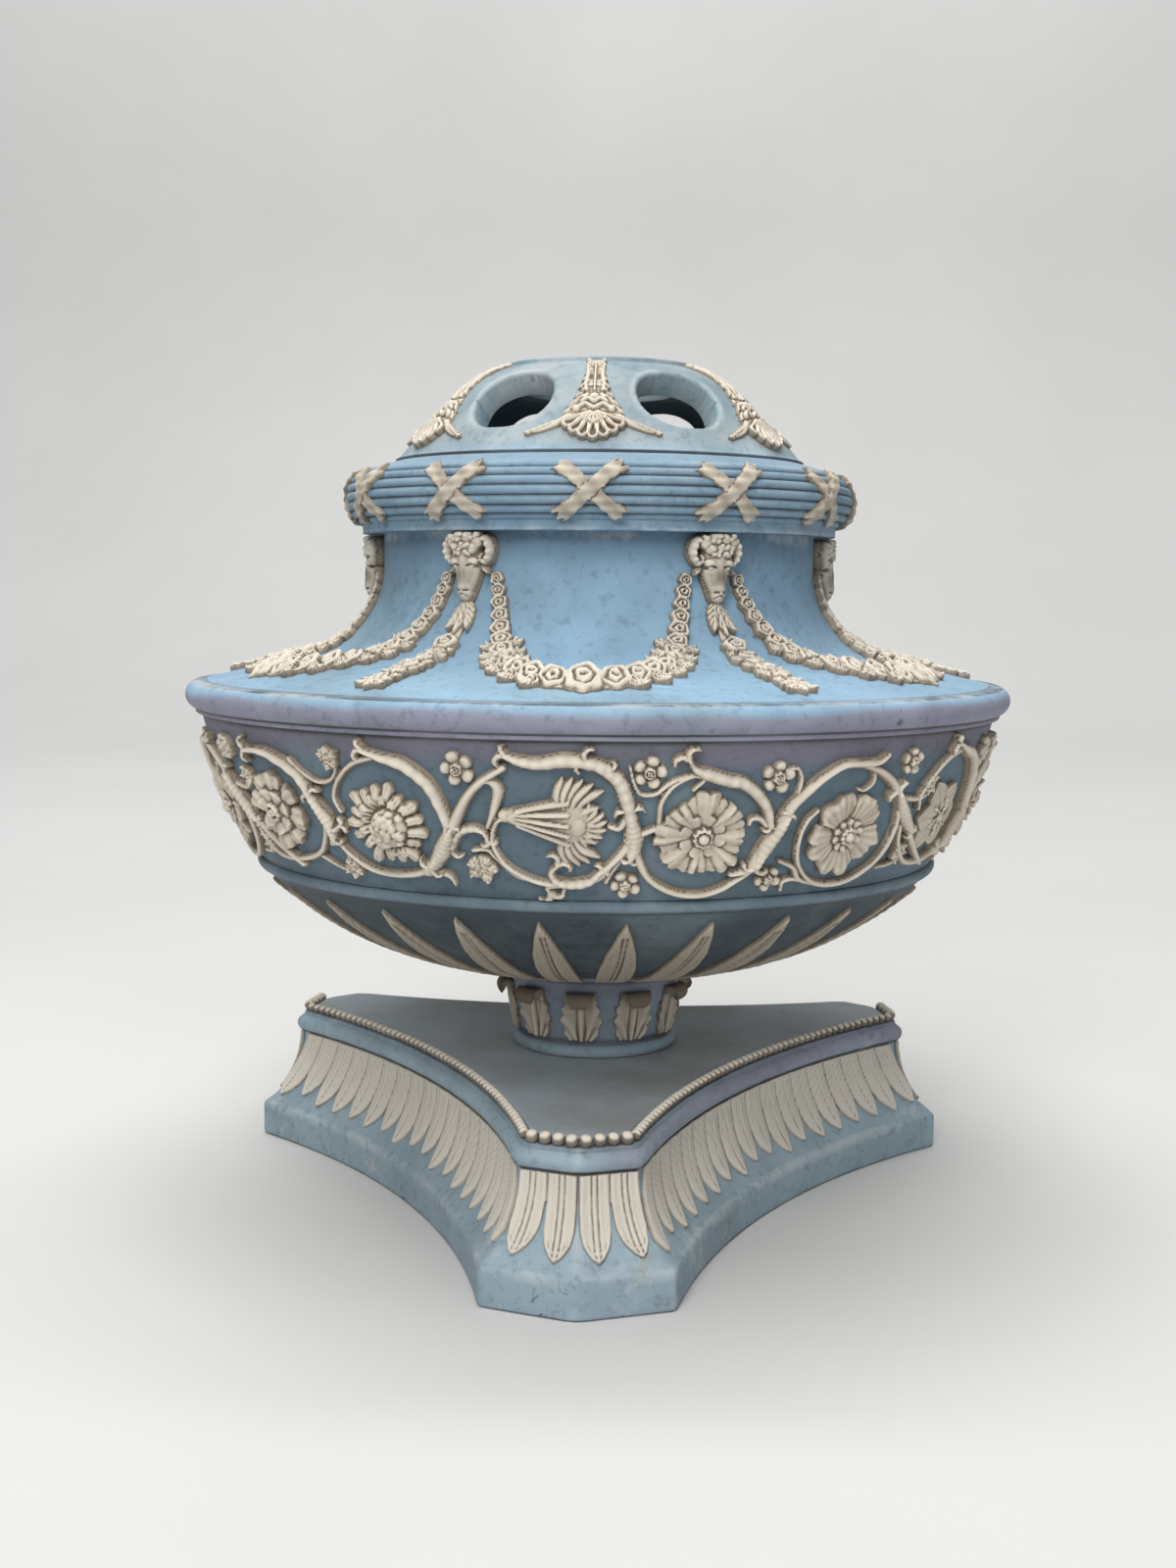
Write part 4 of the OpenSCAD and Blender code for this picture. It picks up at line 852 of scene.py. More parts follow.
def blue():
    """Light blue stoneware: greyer bowl, cover and plinth, lilac about the rim, dirt and painted shade in the
    hollows, painted shade under the bowl, the rim and the collar, painted highlight on the string moulding and
    the crests, a deck lightened as painted light, scuffs and nicks.
    """
    def build(w, shader, at):
        c = colours()
        clay = use(w, clay_mottle(), Vector=at, Blotch_scale=26.0)
        split = w.new("ShaderNodeSeparateXYZ", Vector=at).outputs
        x, z = split["X"], split["Z"]
        high = w.maths("ADD", z, w.maths("MULTIPLY_ADD", w.noise(at, 9.0, 3.0), 0.010, -0.005))
        # Greyer bowl, partly painted shade, and darker painted shade underneath; greyer cover and plinth
        colour = w.tint(c.body, c.body_low_and_shade, w.zone(high, 0.072, 0.075, 0.1445, 0.1505), 0.9)
        colour = w.tint(colour, BOWL_PAINTED_SHADE, w.zone(high, 0.066, 0.069, 0.095, 0.112), 0.92)
        top = w.mix(w.span(w.noise(at, 16.0, 4.0, 0.6, 0.4), 0.40, 0.60), COVER_GREY, COVER_PALE)
        colour = w.tint(colour, top, w.span(high, 0.219, 0.228), 0.8)
        colour = w.tint(colour, PLINTH_GREY, w.span(high, 0.040, 0.070, 1.0, 0.0), 0.62)
        colour = w.tint(colour, STEM_GREY, w.zone(high, 0.046, 0.049, 0.068, 0.072), 0.6)
        # Lilac bloom: the rim's lower half, the band below, the stem's collar, the prow's right and patches
        prow = w.times(w.zone(high, 0.033, 0.0365, 0.0405, 0.043), w.span(x, 0.0, 0.012))
        patch = w.span(w.noise(at, 14.0, 4.0, 0.6), 0.56, 0.70)
        tinge = w.times(w.zone(high, 0.138, 0.1455, 0.1530, 0.1555), 0.9)
        for mask, share in ((w.zone(high, 0.058, 0.066, 0.0705, 0.0725), 0.7), (prow, 0.7), (patch, 0.25)):
            tinge = w.maths("MAXIMUM", tinge, w.times(mask, share))
        colour = w.mix(tinge, colour, c.lilac)
        colour = w.tint(colour, GREEN_DRIFT, w.span(w.noise(at, 11.0, 4.0, 0.62, 0.3), 0.50, 0.68), 0.42)
        tone = w.span(clay["Blotch"], 0.25, 0.75, 0.74, 1.18, False)
        speck = w.span(w.noise(at, 320.0, 4.0, 0.7), 0.34, 0.48, 0.80, 1.0)
        colour = w.mix(1.0, colour, w.grey(w.times(tone, speck)), "MULTIPLY")
        # Painted shadow under the rim, a painted highlight on the string moulding, painted shadow on the neck
        # under the collar and greyer reeds
        for onto, share, edges in ((RIM_PAINTED_SHADOW, 0.45, (0.136, 0.1455, 0.1472, 0.1476)),
                                   (STRING_PAINTED_HIGHLIGHT, 0.35, (0.1014, 0.1020, 0.1042, 0.1047)),
                                   (NECK_PAINTED_SHADOW, 0.6, (0.186, 0.2005, 0.2008, 0.2012)),
                                   (REED_GREY, 0.38, (0.2008, 0.2016, 0.2219, 0.2224))):
            colour = w.tint(colour, onto, w.zone(z, *edges), share)
        # A paler deck with brown-grey soiling, both lightened as painted light against the bowl's shadow
        deck = w.zone(z, 0.0415, 0.0425, 0.044, 0.0445)
        colour = w.tint(colour, DECK_PALE_AND_LIT, deck, 0.55)
        soil = w.times(deck, w.span(w.noise(at, 13.0, 5.0, 0.65), 0.36, 0.62))
        colour = w.tint(colour, DECK_SOIL_AND_LIT, soil, 0.70)
        # Pale scuffs, brown stains and dark nicks on the slab
        slab = w.span(z, 0.010, 0.020, 1.0, 0.0)
        scuff = w.times(slab, w.span(w.noise(at, 60.0, 6.0, 0.7, 0.5), 0.54, 0.70))
        colour = w.tint(colour, SCUFF, scuff, 0.6)
        stain = w.times(slab, w.span(w.noise(at, 48.0, 6.0, 0.75, 1.2), 0.60, 0.72))
        colour = w.tint(colour, STAIN, stain, 0.6)
        spots = w.span(w.noise(at, 170.0, 3.0, 0.6, 1.5), 0.66, 0.71)
        nick = w.times(w.span(z, 0.0, 0.011, 1.0, 0.25), spots)
        nick = w.times(nick, w.span(z, 0.010, 0.014, 1.0, 0.0))
        colour = w.tint(colour, NICK, nick, 0.75)
        # Dirt and painted shade in the recesses
        dirt_and_shade = use(w, recess_dirt_and_shade(), Vector=at, Amount=0.88, Spread=0.55)
        colour = w.mix(dirt_and_shade["Mask"], colour, BLUE_DIRT_AND_SHADE)
        colour = w.tint(colour, PIT, clay["Pits"], 0.7)
        # Pale scrapes on crests and worn edges, partly a painted highlight
        scrape_and_highlight = w.times(w.attribute("crest"), w.span(w.noise(at, 40.0, 5.0, 0.7), 0.42, 0.62))
        rough = w.span(clay["Blotch"], 0.2, 0.8, 0.58, 0.80, False)
        colour = w.tint(colour, SCRAPE_AND_HIGHLIGHT, scrape_and_highlight, 0.65)
        w.fill(shader, Base_Color=colour, Roughness=rough, Specular_IOR_Level=0.32)
        sunk = w.times(w.maths("ADD", clay["Pits"], nick), -1.4)
        lump(w, shader, w.maths("MULTIPLY_ADD", clay["Grain"], 0.5, sunk), 0.4, 0.00028)
    return finish_of("blue_stoneware", build)


def cream():
    """Cream sprigged clay with brown dirt and painted shade in the recesses and low parts, and paler crests as
    wear and painted highlight.
    """
    def build(w, shader, at):
        c = colours()
        clay = use(w, clay_mottle(), Vector=at, Blotch_scale=48.0, Grain_scale=1200.0)
        tone = w.span(clay["Blotch"], 0.28, 0.72)
        # Low parts darker as a dirt wash and painted shade, crests paler as wear and painted highlight
        worn_and_lit = w.span(w.attribute("crest"), 0.12, 0.80)
        colour = w.mix(tone, [0.84 * v for v in c.cream], [min(1.10 * v, 1.0) for v in c.cream])
        colour = w.mix(w.maths("SUBTRACT", 0.62, w.times(worn_and_lit, 0.62)), colour, CREAM_LOW_DIRT_SHADE)
        colour = w.tint(colour, CREAM_TAN, w.span(w.noise(at, 31.0, 4.0, 0.6), 0.50, 0.72), 0.35)
        colour = w.tint(colour, CREAM_WORN_HIGHLIGHT, worn_and_lit, 0.55)
        # Painted shade under the bowl, greyer on the plinth
        z = w.new("ShaderNodeSeparateXYZ", Vector=at).outputs["Z"]
        under = w.times(w.zone(z, 0.0445, 0.047, 0.088, 0.106), w.span(z, 0.066, 0.074, 0.16, 0.62))
        colour = w.mix(under, colour, UNDER_BOWL_SHADE)
        colour = w.mix(w.span(z, 0.040, 0.0445, 0.6, 0.0), colour, PLINTH_CREAM)
        # Dirt and painted shade in the recesses
        dirt_and_shade = use(w, recess_dirt_and_shade(), Vector=at, Amount=0.88, Spread=0.45)
        rough = w.span(clay["Blotch"], 0.2, 0.8, 0.66, 0.84, False)
        colour = w.mix(dirt_and_shade["Mask"], colour, c.dirt_and_shade)
        w.fill(shader, Base_Color=colour, Roughness=rough, Specular_IOR_Level=0.28)
        lump(w, shader, clay["Grain"], 0.30, 0.0002)
    return finish_of("cream_sprig", build)


def iron():
    """Dull dark iron with a little rust."""
    def build(w, shader, at):
        skin = use(w, clay_mottle(), Vector=at, Blotch_scale=160.0)
        colour = w.mix(w.span(skin["Blotch"], 0.45, 0.7), BARE_IRON, RUST)
        w.fill(shader, Base_Color=colour, Roughness=w.span(skin["Blotch"], 0.3, 0.7, 0.42, 0.75),
               Metallic=0.85)
        lump(w, shader, skin["Grain"], 0.3, 0.0002)
    return finish_of("dark_iron", build)


def leather():
    """Brown leather of the head's washer."""
    def build(w, shader, at):
        hide = use(w, clay_mottle(), Vector=at, Blotch_scale=90.0, Grain_scale=1600.0)
        colour = w.mix(hide["Blotch"], DARK_HIDE, PALE_HIDE)
        w.fill(shader, Base_Color=colour, Roughness=w.span(hide["Grain"], 0.2, 0.8, 0.55, 0.8))
        lump(w, shader, hide["Grain"], 0.5, 0.0003)
    return finish_of("brown_leather", build)


# Blue bodies

# Gains of dirt with painted shade in the section's hollows, and of wear with painted highlight on its crests
SECTION_DIRT_SHADE, SECTION_CREST = 2.8, 1.2


def turned(name, section, n, dark_bands, reach):
    """A closed mesh turned from a section, with dirt and painted shade in its hollows and in bands of z, and
    crests that the materials paint paler as wear and painted highlight.
    """
    p = np.array(section, float)
    q = p.copy()
    for _ in range(12):
        q = 0.5 * q + 0.25 * (np.roll(q, 1, 0) + np.roll(q, -1, 0))
    t = np.roll(p, -1, 0) - np.roll(p, 1, 0)
    t /= np.maximum(np.linalg.norm(t, axis=1), 1e-6)[:, None]
    out = np.einsum("ij,ij->i", q - p, np.stack([t[:, 1], -t[:, 0]], 1))
    grime, crest = unit(out * SECTION_DIRT_SHADE), unit(-out * SECTION_CREST)
    for _ in range(reach):
        grime = np.maximum(grime, 0.8 * np.maximum(np.roll(grime, 1), np.roll(grime, -1)))
    for low, high, value in dark_bands:
        grime = np.where((p[:, 1] > low) & (p[:, 1] < high), np.maximum(grime, value), grime)
    az = np.linspace(0, TAU, n, endpoint=False)
    verts = around(p[:, 0:1], az, np.repeat(p[:, 1:2], n, 1)).reshape(-1, 3)
    return make_mesh(name, verts, closed_grid(len(p), n), angle=40, grime=np.repeat(grime, n),
                     crest=np.repeat(crest, n))


def plan_radius(az, inset, soft):
    """Reach of the plinth's plan along each azimuth at an inset, its corners rounded by wear."""
    reach = []
    for k in range(3):
        for hand in (-1, 1):
            lean = az - (k * TAU / 3 + hand * PROW_ANGLE)
            c = np.cos(lean)
            reach.append(np.where(c > 0.2, (FACET_REACH - inset) / np.maximum(c, 0.2), 1e3))
        lean = az - (k + 0.5) * TAU / 3
        c = np.cos(lean) * SIDE_CENTRE
        root = c * c - SIDE_CENTRE ** 2 + (SIDE_ARC + inset) ** 2
        reach.append(np.where((root > 0) & (c > 0), c - np.sqrt(np.maximum(root, 0)), 1e3))
    reach = np.stack(reach)
    least = reach.min(0)
    return least - soft * np.log(np.exp(-(reach - least) / soft).sum(0))


def plinth_mesh():
    """The plinth lofted over its plan: slab, flare, moulding, ledge, deck, bore and the hollow under it."""
    soft = sizes().edge_wear
    probe = np.linspace(0, TAU / 3, 4001)
    base = plan_radius(probe, 0.0, 0.01)
    bend = np.abs(np.gradient(np.gradient(base, probe), probe))
    peak = (bend > 3 * np.median(bend)) & (bend >= np.roll(bend, 1)) & (bend > np.roll(bend, -1))
    corner = list(probe[peak])
    az = [np.linspace(0, TAU / 3, 100, endpoint=False)]
    for c in corner + [0.0, TAU / 3]:
        az.append(c + np.radians(np.linspace(-2.2, 2.2, 15)))
    az = np.unique(np.round(np.concatenate(az) % (TAU / 3), 4))
    az = np.concatenate([az, az + TAU / 3, az + 2 * TAU / 3])
    edge = joined([(0.9, 0.0), (0.35, 0.25), (0.08, 0.7), (0.0, 1.3)], line((0, 1.3), (0, 9.6), 6),
                  [(0.06, 10.3), (0.3, 10.95), (0.75, 11.35)], flare(24),
                  arc(0, MOULD_Z, 1, -70, 70, 16) * [-MOULD_R, MOULD_R]
                  + [MOULD_IN + MOULD_R, MOULD_Z - MOULD_R * MOULD_Z],
                  [(THROAT + 0.05, 40.7), (THROAT + 0.1, 41.2), (THROAT + 0.5, LEDGE_Z)],
                  line((THROAT + 0.8, LEDGE_Z), (LEDGE_IN - 0.3, LEDGE_Z), 3),
                  [(LEDGE_IN, 41.7), (LEDGE_IN + 0.05, 42.6), (LEDGE_IN + 0.4, DECK_H)])
    top, under = plan_radius(az, LEDGE_IN + 0.4, soft), plan_radius(az, CAVITY_IN, 1.5)
    bore = np.full(len(az), BORE_R)
    rows = [(plan_radius(az, inset, soft), height) for inset, height in edge]
    rows += [(top + (bore - top) * share, DECK_H) for share in np.linspace(0.03, 1, 18)]
    rows += [(bore, 38.0), (bore, DECK_UNDER)]
    rows += [(bore + (under - bore) * share, DECK_UNDER) for share in (0.25, 0.5, 0.75, 1.0)]
    rows += [(under, height) for height in (25.0, 15.0, 6.0, 0.0)]
    r = np.array([row for row, _ in rows])
    z = np.array([np.full(len(az), height) for _, height in rows])
    m, n = r.shape
    verts = around(r, az, z).reshape(-1, 3)
    grime, crest = np.zeros((m, n)), np.zeros((m, n))
    # Dirt and painted shade in the throat under the moulding, on the ledge and at the foot; the slab's top
    # edge is crest, painted paler as wear and painted highlight
    for k, (_, height) in enumerate(edge):
        if 34.0 < height < 35.6 or 40.2 < height < 42.8 or height < 0.6:
            grime[k] = 0.35 if height > 40 else 0.6
        if 9.4 < height < 11.5:
            crest[k] = 0.8
    ridge = np.zeros(n)
    for c in corner + [0.0]:
        for k in range(3):
            gap = np.abs((az - c - k * TAU / 3 + pi) % TAU - pi)
            ridge = np.maximum(ridge, tent(gap, radians(1.2)))
    crest[:len(edge)] = np.maximum(crest[:len(edge)], 0.7 * ridge)
    return make_mesh("plinth_block", verts, closed_grid(m, n), angle=60, grime=grime.ravel(),
                     crest=crest.ravel())


def inner_partners(r_out, z_out):
    """For each point of the cover's outer section, its partner straight through the wall."""
    rise = np.array([sin(CONE_SLOPE), cos(CONE_SLOPE)])
    low = joined(line((COVER_R - 9.14, MOUTH_Z), CONE_TOP - COVER_WALL * rise, 20),
                 arc(CROWN_C[0], CROWN_C[1], CROWN_R - COVER_WALL, 40, 75, 20), [(EYE_R, EYE_Z)])
    pairs = []
    for r, z in zip(r_out, z_out):
        if z < MOUTH_Z + 0.3 and r < COVER_R - 0.1:
            pairs.append((FLANGE_IN, min(z, MOUTH_Z) + 0.62 * max(r - FLANGE_R, 0) * 0.55))
        else:
            pairs.append(tuple(low[np.argmin((low[:, 0] - r) ** 2 + (low[:, 1] - z) ** 2)]))
    pairs = np.array(pairs)
    pairs = np.stack([smooth(pairs[:, k][None], 6)[0] for k in (0, 1)], 1)
    pairs[0], pairs[-1] = (FLANGE_IN, FLANGE_Z), (EYE_R, EYE_Z)
    # Neighbours by the eye stay apart
    for k in range(len(pairs) - 2, len(pairs) - 14, -1):
        pairs[k, 0] = max(pairs[k, 0], pairs[k + 1, 0] + 0.05)
    return pairs


def cover_form():
    """The cover's outer face with six oval holes and soft lips, and its inner face with the flange."""
    outer = joined(line((FLANGE_R, FLANGE_Z), (FLANGE_R, 222.0), 6),
                   line((55.4, MOUTH_Z), (61.6, MOUTH_Z), 6),
                   arc(61.5, 222.75, 0.55, -80, 35, 5), DOME[2:],
                   [(30.2, 250.1), (29.6, 250.15), (29.25, 250.4), (29.2, 250.9)],
                   arc(28.6, TOP_Z - 0.6, 0.6, 0, 90, 5), line((28.2, TOP_Z), (23, TOP_Z), 5),
                   arc(22.5, TOP_Z - 0.5, 0.5, 90, 180, 4), [(EYE_R, 250.6)])
    skin = Skin(outer)
    at = np.linspace(0, skin.run, 110)
    pairs = inner_partners(*skin.section(at, 0))
    relief = Relief(skin, np.linspace(0, TAU, 480, endpoint=False) - pi, at, 30.0)
    relief.d[:] = -BARE
    r, z = skin.section(relief.S, 0)
    for k in range(HOLES):
        gap = (relief.AZ - (k + 0.5) * TAU / HOLES + pi) % TAU - pi
        x = r * np.sin(gap)
        y = (r * np.cos(gap) - CONE_TOP[0]) * -cos(CONE_SLOPE) + (z - CONE_TOP[1]) * sin(CONE_SLOPE)
        d = np.hypot(np.maximum(np.abs(x) - (HOLE_W - HOLE_L) / 2, 0), y) - HOLE_L / 2
        facing = (np.cos(gap) > 0.5) & (z > MOUTH_Z + 0.5)
        relief.d = np.where(facing, np.minimum(relief.d, d), relief.d)
    e = np.clip(relief.d, 0, HOLE_LIP)
    relief.h = -(HOLE_LIP - np.sqrt(np.clip(HOLE_LIP * HOLE_LIP - (HOLE_LIP - e) ** 2, 0, None))) * 0.8

    def inner(az, s):
        return around(np.interp(s, at, pairs[:, 0]), az, np.interp(s, at, pairs[:, 1]))
    return relief, inner


def shell(name, relief, inner):
    """Closes a pierced shell between the worked outer face and its inner partner."""
    d = relief.d
    inside = d > 0
    right = np.roll(inside, -1, 1)
    cells = inside[:-1] | inside[1:] | right[:-1] | right[1:]
    used = touched(cells, d.shape)
    wide = np.concatenate([d[:, -1:], d, d[:, :1]], 1)
    step = relief.az[1] - relief.az[0]
    gs = np.gradient(d, relief.s, axis=0)
    ga = np.gradient(wide, step, axis=1)[:, 1:-1] / relief.R
    g = np.maximum(np.hypot(ga, gs), 0.3)
    out = used & ~inside
    move = np.where(out, np.clip(-d / g, 0, 1.1), 0)
    AZ, S = relief.AZ + move * ga / g / relief.R, relief.S + move * gs / g
    h = np.where(out, relief.h.min(), relief.h)
    index = np.full(d.shape, -1)
    n = int(used.sum())
    index[used] = np.arange(n)
    face, back = relief.skin.place(AZ[used], S[used], h[used]), inner(AZ[used], S[used])
    quads = cell_quads(index, cells)
    rim = open_edges(quads, n)
    walls = np.stack([rim[:, 1], rim[:, 0], rim[:, 0] + n, rim[:, 1] + n], 1)
    lip = tent(d - 1.2, 1.6) * 0.8
    seat = tent(relief.S - 13.0, 1.6)
    return make_mesh(name, np.concatenate([face, back]), np.concatenate([quads, quads[:, ::-1] + n, walls]),
                     angle=62, grime=np.concatenate([seat[used], np.full(n, 0.3)]),
                     crest=np.concatenate([lip[used], np.zeros(n)]))


def body_sections():
    """Closed sections of the bowl, stem, shoulder and collar."""
    bowl = joined([(BORE_R, 71.0)], line((BORE_R, 71.0), (29.0, 71.0), 6), BOWL_OUT, BOWL_IN,
                  line((29.5, 79.0), (BORE_R, 79.0), 6))
    stem = joined(line((BORE_R, 43.0), (23.6, 43.0), 5), STEM_OUT, line((29.5, 71.0), (BORE_R, 71.0), 5))
    inner = SHOULDER_IN.copy()
    inner[:, 1] = np.maximum(inner[:, 1], SEAT_Z)
    shoulder = joined(SHOULDER, [(58.5, COLLAR_Z)], inner, [(87.2, SEAT_Z)],
                      line((87.2, SEAT_Z), (120.4, SEAT_Z), 8))
    collar = joined(line((MOUTH_R, COLLAR_Z), (71.7, COLLAR_Z), 8), reeds_section(),
                    line((62.0, MOUTH_Z), (MOUTH_R, MOUTH_Z), 4),
                    line((MOUTH_R, MOUTH_Z - 1), (MOUTH_R, COLLAR_Z + 1), 6))
    return bowl, stem, shoulder, collar


# Frieze, traced in millimetres: x runs right from the model's front, y up from a line at BASE_Y on the wall

FRIEZE_R = 111.5
BASE_Y = 18.9


def frieze_points(points, dx):
    return [((x + dx) / FRIEZE_R, y + BASE_Y) for x, y in points]


STEMS = [
    ([(-71.8, .8), (-69.7, -4), (-65.5, -8.6), (-60.7, -11.5), (-53.4, -12.5), (-45, -11.3), (-40, -7.9),
      (-36.5, -2.6)], [(0, .9), (.7, 1.3), (1, 1.8)], 1.9),
    ([(-52.3, 21.6), (-58.6, 19.3), (-64.2, 14.3), (-66.7, 9.4), (-65.6, 5.5)], [(0, 1.0), (1, .7)], 1.7),
    ([(-42.2, -10.2), (-38, -6), (-35, -.9), (-31.4, 5.8), (-27.7, 12.2), (-23.8, 16.5), (-18.2, 20.4)],
     [(0, 2.4), (.35, 2.3), (.7, 1.5), (1, 1.1)], 2.3),
    ([(-43.3, -11.1), (-39, -10.8), (-36, -11.8), (-34.9, -14.4)], [(0, 1.5), (.6, 1.1), (1, .4)], 1.6),
    ([(-72.6, 4), (-74.1, -1.9), (-79.7, -8.5), (-91, -11.7), (-101.9, -11.4), (-107.7, -6), (-107.5, .1)],
     [(0, 1.1), (1, .9)], 1.8),
    ([(-72.6, -.9), (-69, -4.7), (-68, -9.8)], [(0, 1.2), (1, .5)], 1.5),
    ([(-79.6, -9.4), (-75.5, -11.5), (-69.8, -13.5)], [(0, 1.0), (1, .5)], 1.4),
    ([(-80.8, 19.1), (-76.6, 15.6), (-71.2, 13.3), (-65.9, 14.9), (-63.9, 18.9), (-65.8, 22.2),
      (-68.5, 22.4)], [(0, .9), (1, .6)], 1.3),
    ([(-23.8, 16.5), (-21.4, 16.6), (-19.9, 14.1), (-21.4, 8.6), (-23.3, 3.9)],
     [(0, 1.0), (.5, 1.9), (1, .7)], 1.9),
    ([(-18.4, 6.8), (-21, 5.2), (-22.5, .7), (-21.6, -4.1), (-18.4, -8.5), (-12.7, -11.7), (-7.6, -12.8),
      (-.9, -12.5), (4.2, -10.7), (7.1, -7.3)], [(0, .7), (.5, 1.0), (1, 1.3)], 1.8),
    ([(-28.2, -3.3), (-24.4, -3), (-21.8, -5.8), (-17.1, -10.6), (-11.3, -12)], [(0, .7), (1, .9)], 1.4),
    ([(12.9, 2.1), (11, -2), (7, -6.9), (2, -11.7)], [(0, 1.8), (.5, 1.4), (1, .8)], 2.0),
    ([(12.9, 1.3), (14.7, -5.2), (18.1, -11.1), (24.6, -15.1), (31.7, -16.2), (37.7, -14.6), (41.9, -11.7),
      (46, -8.5)], [(0, 1.7), (.3, 1.25), (1, 1.2)], 2.0),
    ([(11.3, 7.6), (9.4, 4.4), (7, 4.8)], [(0, 1.4), (.6, 1.2), (1, .8)], 1.8),
    ([(12.9, 2.1), (15.6, 2.9), (18.3, 4.1), (21.7, 4.5)], [(0, 1.4), (1, .9)], 1.8),
    ([(11.4, 21.1), (12.5, 16.7), (14.3, 13.7), (17.6, 13.7), (20.7, 16.3), (23.2, 17.8), (27.8, 18.9)],
     [(0, .5), (.5, .8), (1, .9)], 1.4),
    ([(6.4, -12.1), (8.4, -7.8), (11.8, -2.8)], [(0, .6), (1, 1.0)], 1.4),
    ([(19.1, 6), (19.4, 11.4), (22.1, 16), (26.5, 18.6), (29.2, 17.6), (26.8, 14.8)],
     [(0, .8), (.7, .9), (1, .5)], 1.5),
    ([(45.9, -8), (47.2, -3.5), (49.2, 1.4), (51.5, 5.3), (53.5, 9.9), (57.3, 14.1), (61.3, 17.7),
      (66.4, 20.5), (72.5, 20.6), (77.1, 20.8), (79.8, 22.9)],
     [(0, 2.2), (.3, 2.4), (.6, 1.6), (.9, 1.2), (1, .5)], 2.3),
    ([(47.9, 3.9), (45.1, 6.3), (42.8, 6.4), (42.4, 4.9)], [(0, 1.3), (1, .6)], 1.7),
    ([(39.9, -9.9), (43.7, -9.2), (46.6, -7.6)], [(0, .9), (1, 2.2)], 2.0),
    ([(50, 19.6), (53, 19.9), (54.7, 16.8), (54.4, 13)], [(0, .5), (1, .9)], 1.4),
    ([(53.8, -6.7), (58.9, -9.2), (62, -12.9), (69.8, -15.3)], [(0, .6), (.5, 1.2), (1, .9)], 1.6),
    ([(56.8, -16.1), (56.8, -13.4), (60.1, -12.8), (66.5, -14.6)], [(0, .5), (.5, 1.0), (1, .8)], 1.5),
    ([(61.3, 8), (58.8, 5), (57.9, -.7), (59.6, -7.5), (64.9, -13.1), (71.9, -15.5), (80.1, -14.9),
      (87.2, -11.1), (91.2, -5.8), (92.1, .9), (90.5, 6)], [(0, .7), (.5, 1.1), (1, 1.0)], 1.8),
    ([(72.6, 20.3), (79, 18), (85.7, 13.7), (90.8, 7.7), (97, 1.3), (105.7, -6.5), (116.1, -13.2)],
     [(0, 1.2), (.5, 2.0), (.75, 1.6), (1, 1.1)], 2.1),
    ([(92.4, 9.1), (99.1, 8.6), (103.1, 11.1), (100.3, 13.4)], [(0, 1.1), (1, .5)], 1.6),
    ([(77, 18.1), (77.6, 15), (75, 12.8), (72.9, 13.3)], [(0, .9), (1, .5)], 1.4),
    ([(91.5, -12.1), (98.9, -11.1), (99.9, -6.8)], [(0, .6), (1, .9)], 1.4),
]
SHEATHS = [
    ([(-54.3, 23.7), (-49.1, 21.8), (-44, 20.3), (-40, 17.5), (-37.1, 14.3), (-35.2, 9.4), (-33.9, 4),
      (-35, -.9)], [(0, .8), (.25, 2.0), (.6, 2.1), (.85, 1.7), (1, .9)], 2.7),
    ([(-33.8, -2.4), (-31.2, 1.8), (-27.3, 3.2), (-24.5, 2.2), (-23.7, -.2)], [(0, 1.4), (.5, 1.3), (1, .5)],
     2.1),
    ([(-99.5, 20.6), (-91, 20.6), (-83.4, 18.1), (-78, 14.7), (-75.5, 10.2), (-73, 5.6), (-70, .2),
      (-67.1, 1.3)], [(0, .9), (.3, 1.8), (.6, 2.0), (.85, 1.5), (1, .6)], 2.6),
    ([(-17.3, 23.8), (-14.1, 22.4), (-9.6, 21.8), (-3.9, 22.7), (1.8, 22.1), (6.4, 20.7)],
     [(0, 1.0), (.2, 1.7), (.6, 2.2), (1, 1.9)], 2.8),
    ([(1.8, 22.4), (5.7, 20.3), (8.9, 17.4), (10.7, 12.9), (12, 7.6), (12.9, 2.1)],
     [(0, 1.6), (.3, 2.2), (.7, 2.2), (1, 1.8)], 2.9),
    ([(-6.2, -6.8), (-7.8, -8.9), (-6.4, -11.9), (-2.4, -12.6), (2, -11.6), (4.9, -8.6)],
     [(0, .5), (.3, 1.2), (.7, 1.8), (1, 1.0)], 2.3),
    ([(-8.5, -15.9), (-9.2, -14.1), (-6.1, -13.1)], [(0, .4), (1, 1.0)], 1.5),
    ([(25.1, 23), (27, 20.4), (30.5, 18.9), (35.4, 17.3), (39, 16.5), (43.1, 13.4), (46.3, 9.4), (48.1, 4.6)],
     [(0, .5), (.25, 1.9), (.5, 2.0), (.8, 1.8), (1, 1.4)], 2.7),
    ([(46.6, -7.0), (48.0, -2.5), (50.4, 2.4), (52.3, 6.6)], [(0, 1.7), (.4, 2.7), (.8, 2.4), (1, 1.4)], 3.0),
    ([(-40.0, -8.0), (-37.0, -4.4), (-34.8, -.6), (-33.0, 3.0)], [(0, 1.6), (.4, 2.8), (.8, 2.3), (1, 1.2)],
     3.0),
    ([(88.0, 11.2), (91.6, 6.9), (95.4, 2.9), (99.4, -.8)], [(0, 1.3), (.45, 2.6), (.8, 2.2), (1, 1.2)], 2.9),
    ([(11.9, 8.0), (12.9, 3.4), (13.1, -1.0), (12.4, -4.2)], [(0, 1.6), (.4, 2.7), (.8, 2.3), (1, 1.1)], 3.0),
    ([(-74.6, 8.6), (-72.4, 4.4), (-70.8, .4), (-70.4, -3.0)], [(0, 1.4), (.4, 2.5), (.8, 2.1), (1, 1.0)],
     2.9),
]
